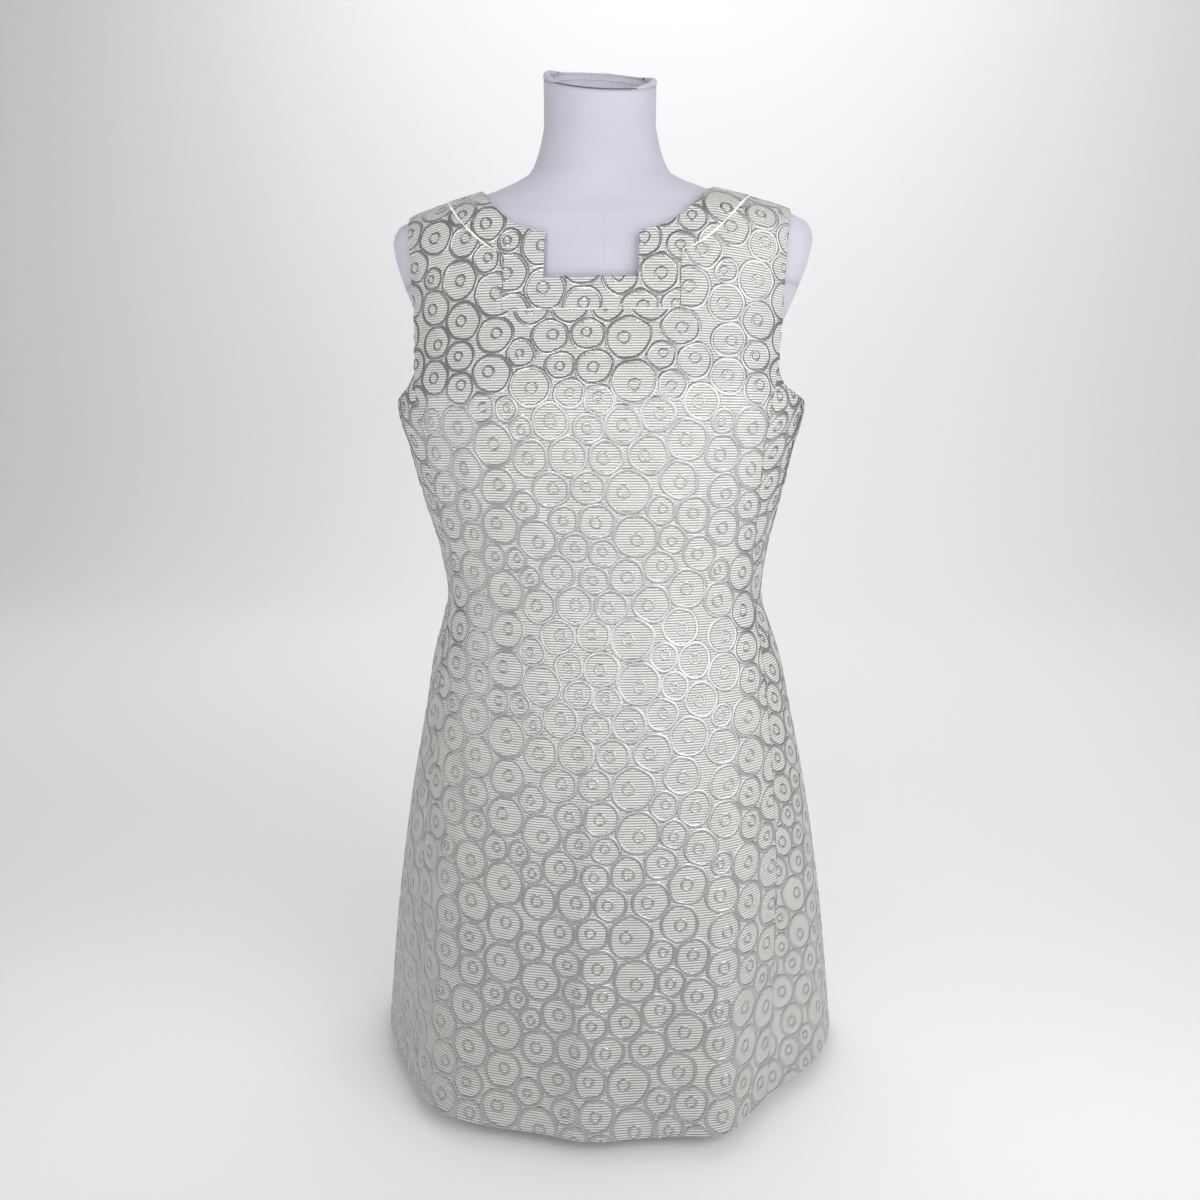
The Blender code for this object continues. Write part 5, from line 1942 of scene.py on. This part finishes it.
@dataclass
class BackZip:
    """The concealed zip: tapes and coil inside the centre back seam, slider and pull at its top."""

    foot: float = 0.420
    top: float = 0.806
    tape_half: float = 0.011
    tape_gap: float = 0.0009
    thick: float = 0.0006
    pitch: float = 0.0024
    coil_half: float = 0.00117       # half the coil's width
    coil_foot: float = 0.006         # how far above the tapes' foot it starts
    coil_short: float = 0.020        # how much shorter than the tapes it is
    coil_gap: float = 0.0006
    cord: float = 0.0005

    def inside(self, x: np.ndarray, height: np.ndarray, depth: float) -> np.ndarray:
        """Points under the back seam, at a depth below the cloth's face."""
        return CLOTH.face(DRESS_FIGURE.on_side(x, height, BACK), -depth)

    def build(self, frame: dict) -> None:
        """Builds the tapes and coil, and dresses the slider and the pull.

        Args:
            frame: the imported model.
        """
        tapes = self.tapes()
        coil = self.teeth()
        Woven("zip_tape_cloth", (0.70, 0.69, 0.64)).make().wear(tapes)
        Plain("zip_coil", (0.72, 0.71, 0.67)).make().wear(coil)
        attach(tapes, BODY)
        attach(coil, BODY)
        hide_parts("zip_tape")
        metal = Metal("plated_metal", (0.78, 0.77, 0.74), 0.22).make()
        metal.wear(frame["nodes"]["zip_slider"], frame["nodes"]["zip_pull"])
        log.info("zip: coil %d faces", len(coil.data.polygons))

    def tapes(self) -> bpy.types.Object:
        """Both tapes as one thin closed band.

        Returns:
            The tapes' object.
        """
        x = np.linspace(-self.tape_half, self.tape_half, 13)[None] + np.zeros((121, 1))
        height = np.linspace(self.foot, self.top, 121)[:, None] + 0 * x
        grid = self.inside(x, height, WALL + self.tape_gap)
        index = np.arange(x.size).reshape(x.shape)
        mesh = make_mesh("zip_tapes", grid.reshape(-1, 3), grid_faces(index, True))
        made = new_object("zip_tapes", mesh)
        thickened(made, self.thick)
        return made

    def teeth(self) -> bpy.types.Object:
        """The closed coil as one fine zigzag cord down the middle of the tapes' inner face.

        Returns:
            The coil's object.
        """
        count = int((self.top - self.foot - self.coil_short) / self.pitch * 2)
        at = np.arange(count)
        x = np.where(at % 2 == 0, -1.0, 1.0) * self.coil_half
        height = self.foot + self.coil_foot + at * self.pitch / 2
        path = self.inside(x, height, WALL + self.tape_gap + self.thick + self.coil_gap)
        return joined_piece("zip_coil", tube(path, self.cord, 5))


@dataclass
class Stand:
    """The form's round base and post."""

    def dress(self, frame: dict) -> None:
        """Gives both their satin steel.

        Args:
            frame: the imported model.
        """
        metal = Metal("satin_steel", (0.62, 0.62, 0.63), 0.32, (12.0, 600.0, 40.0)).make()
        metal.wear(frame["nodes"]["form_base"], frame["nodes"]["form_post"])
        log.info("stand: base and post")


@dataclass
class Studio:
    """Floor, backdrop, lights and camera."""

    distance: float = 0.92
    eye_height: float = 0.629
    azimuth: float = math.radians(5)
    pitch: float = math.radians(10)
    focal_pixels: float = 940.0
    frame_pixels: float = 1200.0
    sensor: float = 36.0
    floor_front: float = -1.0
    bend_start: float = 2.2          # where the floor starts to curve up, and the curve's radius
    bend: float = 0.8
    wall_top: float = 3.4
    floor_half: float = 3.5
    surround: tuple = (0.93, 0.96, 1.0, 1.0)
    surround_light: float = 0.28

    def build(self) -> None:
        """Builds the whole studio."""
        self.sweep()
        self.lights()
        self.camera()

    def toward(self) -> np.ndarray:
        """The level direction from the camera to the figure."""
        return np.array([-math.sin(self.azimuth), math.cos(self.azimuth), 0.0])

    def camera(self) -> None:
        """A camera at the photograph's height, distance and pitch."""
        data = bpy.data.cameras.new("studio_camera")
        data.sensor_width = self.sensor
        data.lens = self.focal_pixels / self.frame_pixels * self.sensor
        made = bpy.data.objects.new("studio_camera", data)
        bpy.context.scene.collection.objects.link(made)
        spot = np.array([PLACE[0], PLACE[1], 0.0]) - self.toward() * self.distance
        look = self.toward() * math.cos(self.pitch) - np.array([0.0, 0.0, math.sin(self.pitch)])
        made.location = (*spot[:2], self.eye_height)
        made.rotation_euler = Vector(look).to_track_quat("-Z", "Y").to_euler()
        bpy.context.scene.camera = made

    def sweep(self) -> None:
        """A white sweep: floor, a quarter round and a wall, as a profile carried sideways."""
        turn = np.linspace(0.0, QUARTER, 24)
        curve = np.stack([self.bend_start + self.bend * np.sin(turn), self.bend * (1 - np.cos(turn))], axis=1)
        profile = np.concatenate([
            [[self.floor_front, 0.0]], curve, [[self.bend_start + self.bend, self.wall_top]]])
        across = np.linspace(-self.floor_half, self.floor_half, 5)
        grid = np.stack(np.broadcast_arrays(across[None], profile[:, :1], profile[:, 1:] - 0.0004), axis=-1)
        index = np.arange(grid[..., 0].size).reshape(grid.shape[:2])
        mesh = make_mesh("studio_sweep", grid.reshape(-1, 3), grid_faces(index, False))
        made = new_object("studio_sweep", mesh)
        Plain("studio_white", (0.90, 0.90, 0.90), 0.12).make().wear(made)

    def lights(self) -> None:
        """Low windows before and beside the figure, a light from the upper right, a wash, a grey surround."""
        self.area("front_window", (0.05, -0.55, 0.52), (0.0, 0.0, 0.52), (1.15, 0.36), 1.56)
        self.area("left_window", (-0.80, -0.30, 0.53), (0.0, 0.0, 0.53), (0.50, 0.40), 0.82)
        self.area("right_window", (0.80, -0.26, 0.56), (0.0, 0.0, 0.56), (0.50, 0.44), 0.88)
        self.area("upper_right", (1.05, -1.00, 1.25), (0.0, -0.05, 0.80), (1.3, 1.1), 11.0)
        self.area("upper_front", (-0.35, -1.25, 1.10), (0.0, 0.0, 0.88), (0.8, 0.4), 0.68, 55)
        self.area("wash", (0.0, 1.4, 2.7), (0.0, 2.9, 0.8), (3.2, 2.4), 36.0)
        world = bpy.data.worlds.new("studio_world")
        world.use_nodes = True
        back = world.node_tree.nodes["Background"]
        back.inputs["Color"].default_value = self.surround
        back.inputs["Strength"].default_value = self.surround_light
        bpy.context.scene.world = world
        bpy.context.scene.view_settings.view_transform = "Standard"

    def area(self, name: str, spot: tuple, aim: tuple, size: tuple, power: float,
             spread: float = 180) -> None:
        """An oblong soft light.

        Args:
            name: the light's name.
            spot: where it stands.
            aim: the place that it faces.
            size: its width and height.
            power: watts.
            spread: its beam, in degrees.
        """
        data = bpy.data.lights.new(name, "AREA")
        data.shape = "RECTANGLE"
        data.size, data.size_y = size
        data.energy = power
        data.spread = math.radians(spread)
        made = bpy.data.objects.new(name, data)
        bpy.context.scene.collection.objects.link(made)
        made.location = spot
        made.rotation_euler = (Vector(aim) - Vector(spot)).to_track_quat("-Z", "Y").to_euler()


def main() -> None:
    """Builds the dress, the form, the zip, the stand and the studio over the frame."""
    logging.basicConfig(level=logging.INFO, format="%(message)s")
    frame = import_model()
    DressForm().build()
    Dress(Chart(FRONT, 1.50, 0.215), Chart(BACK, 2.55, 0.450)).build()
    BackZip().build(frame)
    Stand().dress(frame)
    Studio().build()
    log.info("all pieces built")


if __name__ == "__main__":
    main()
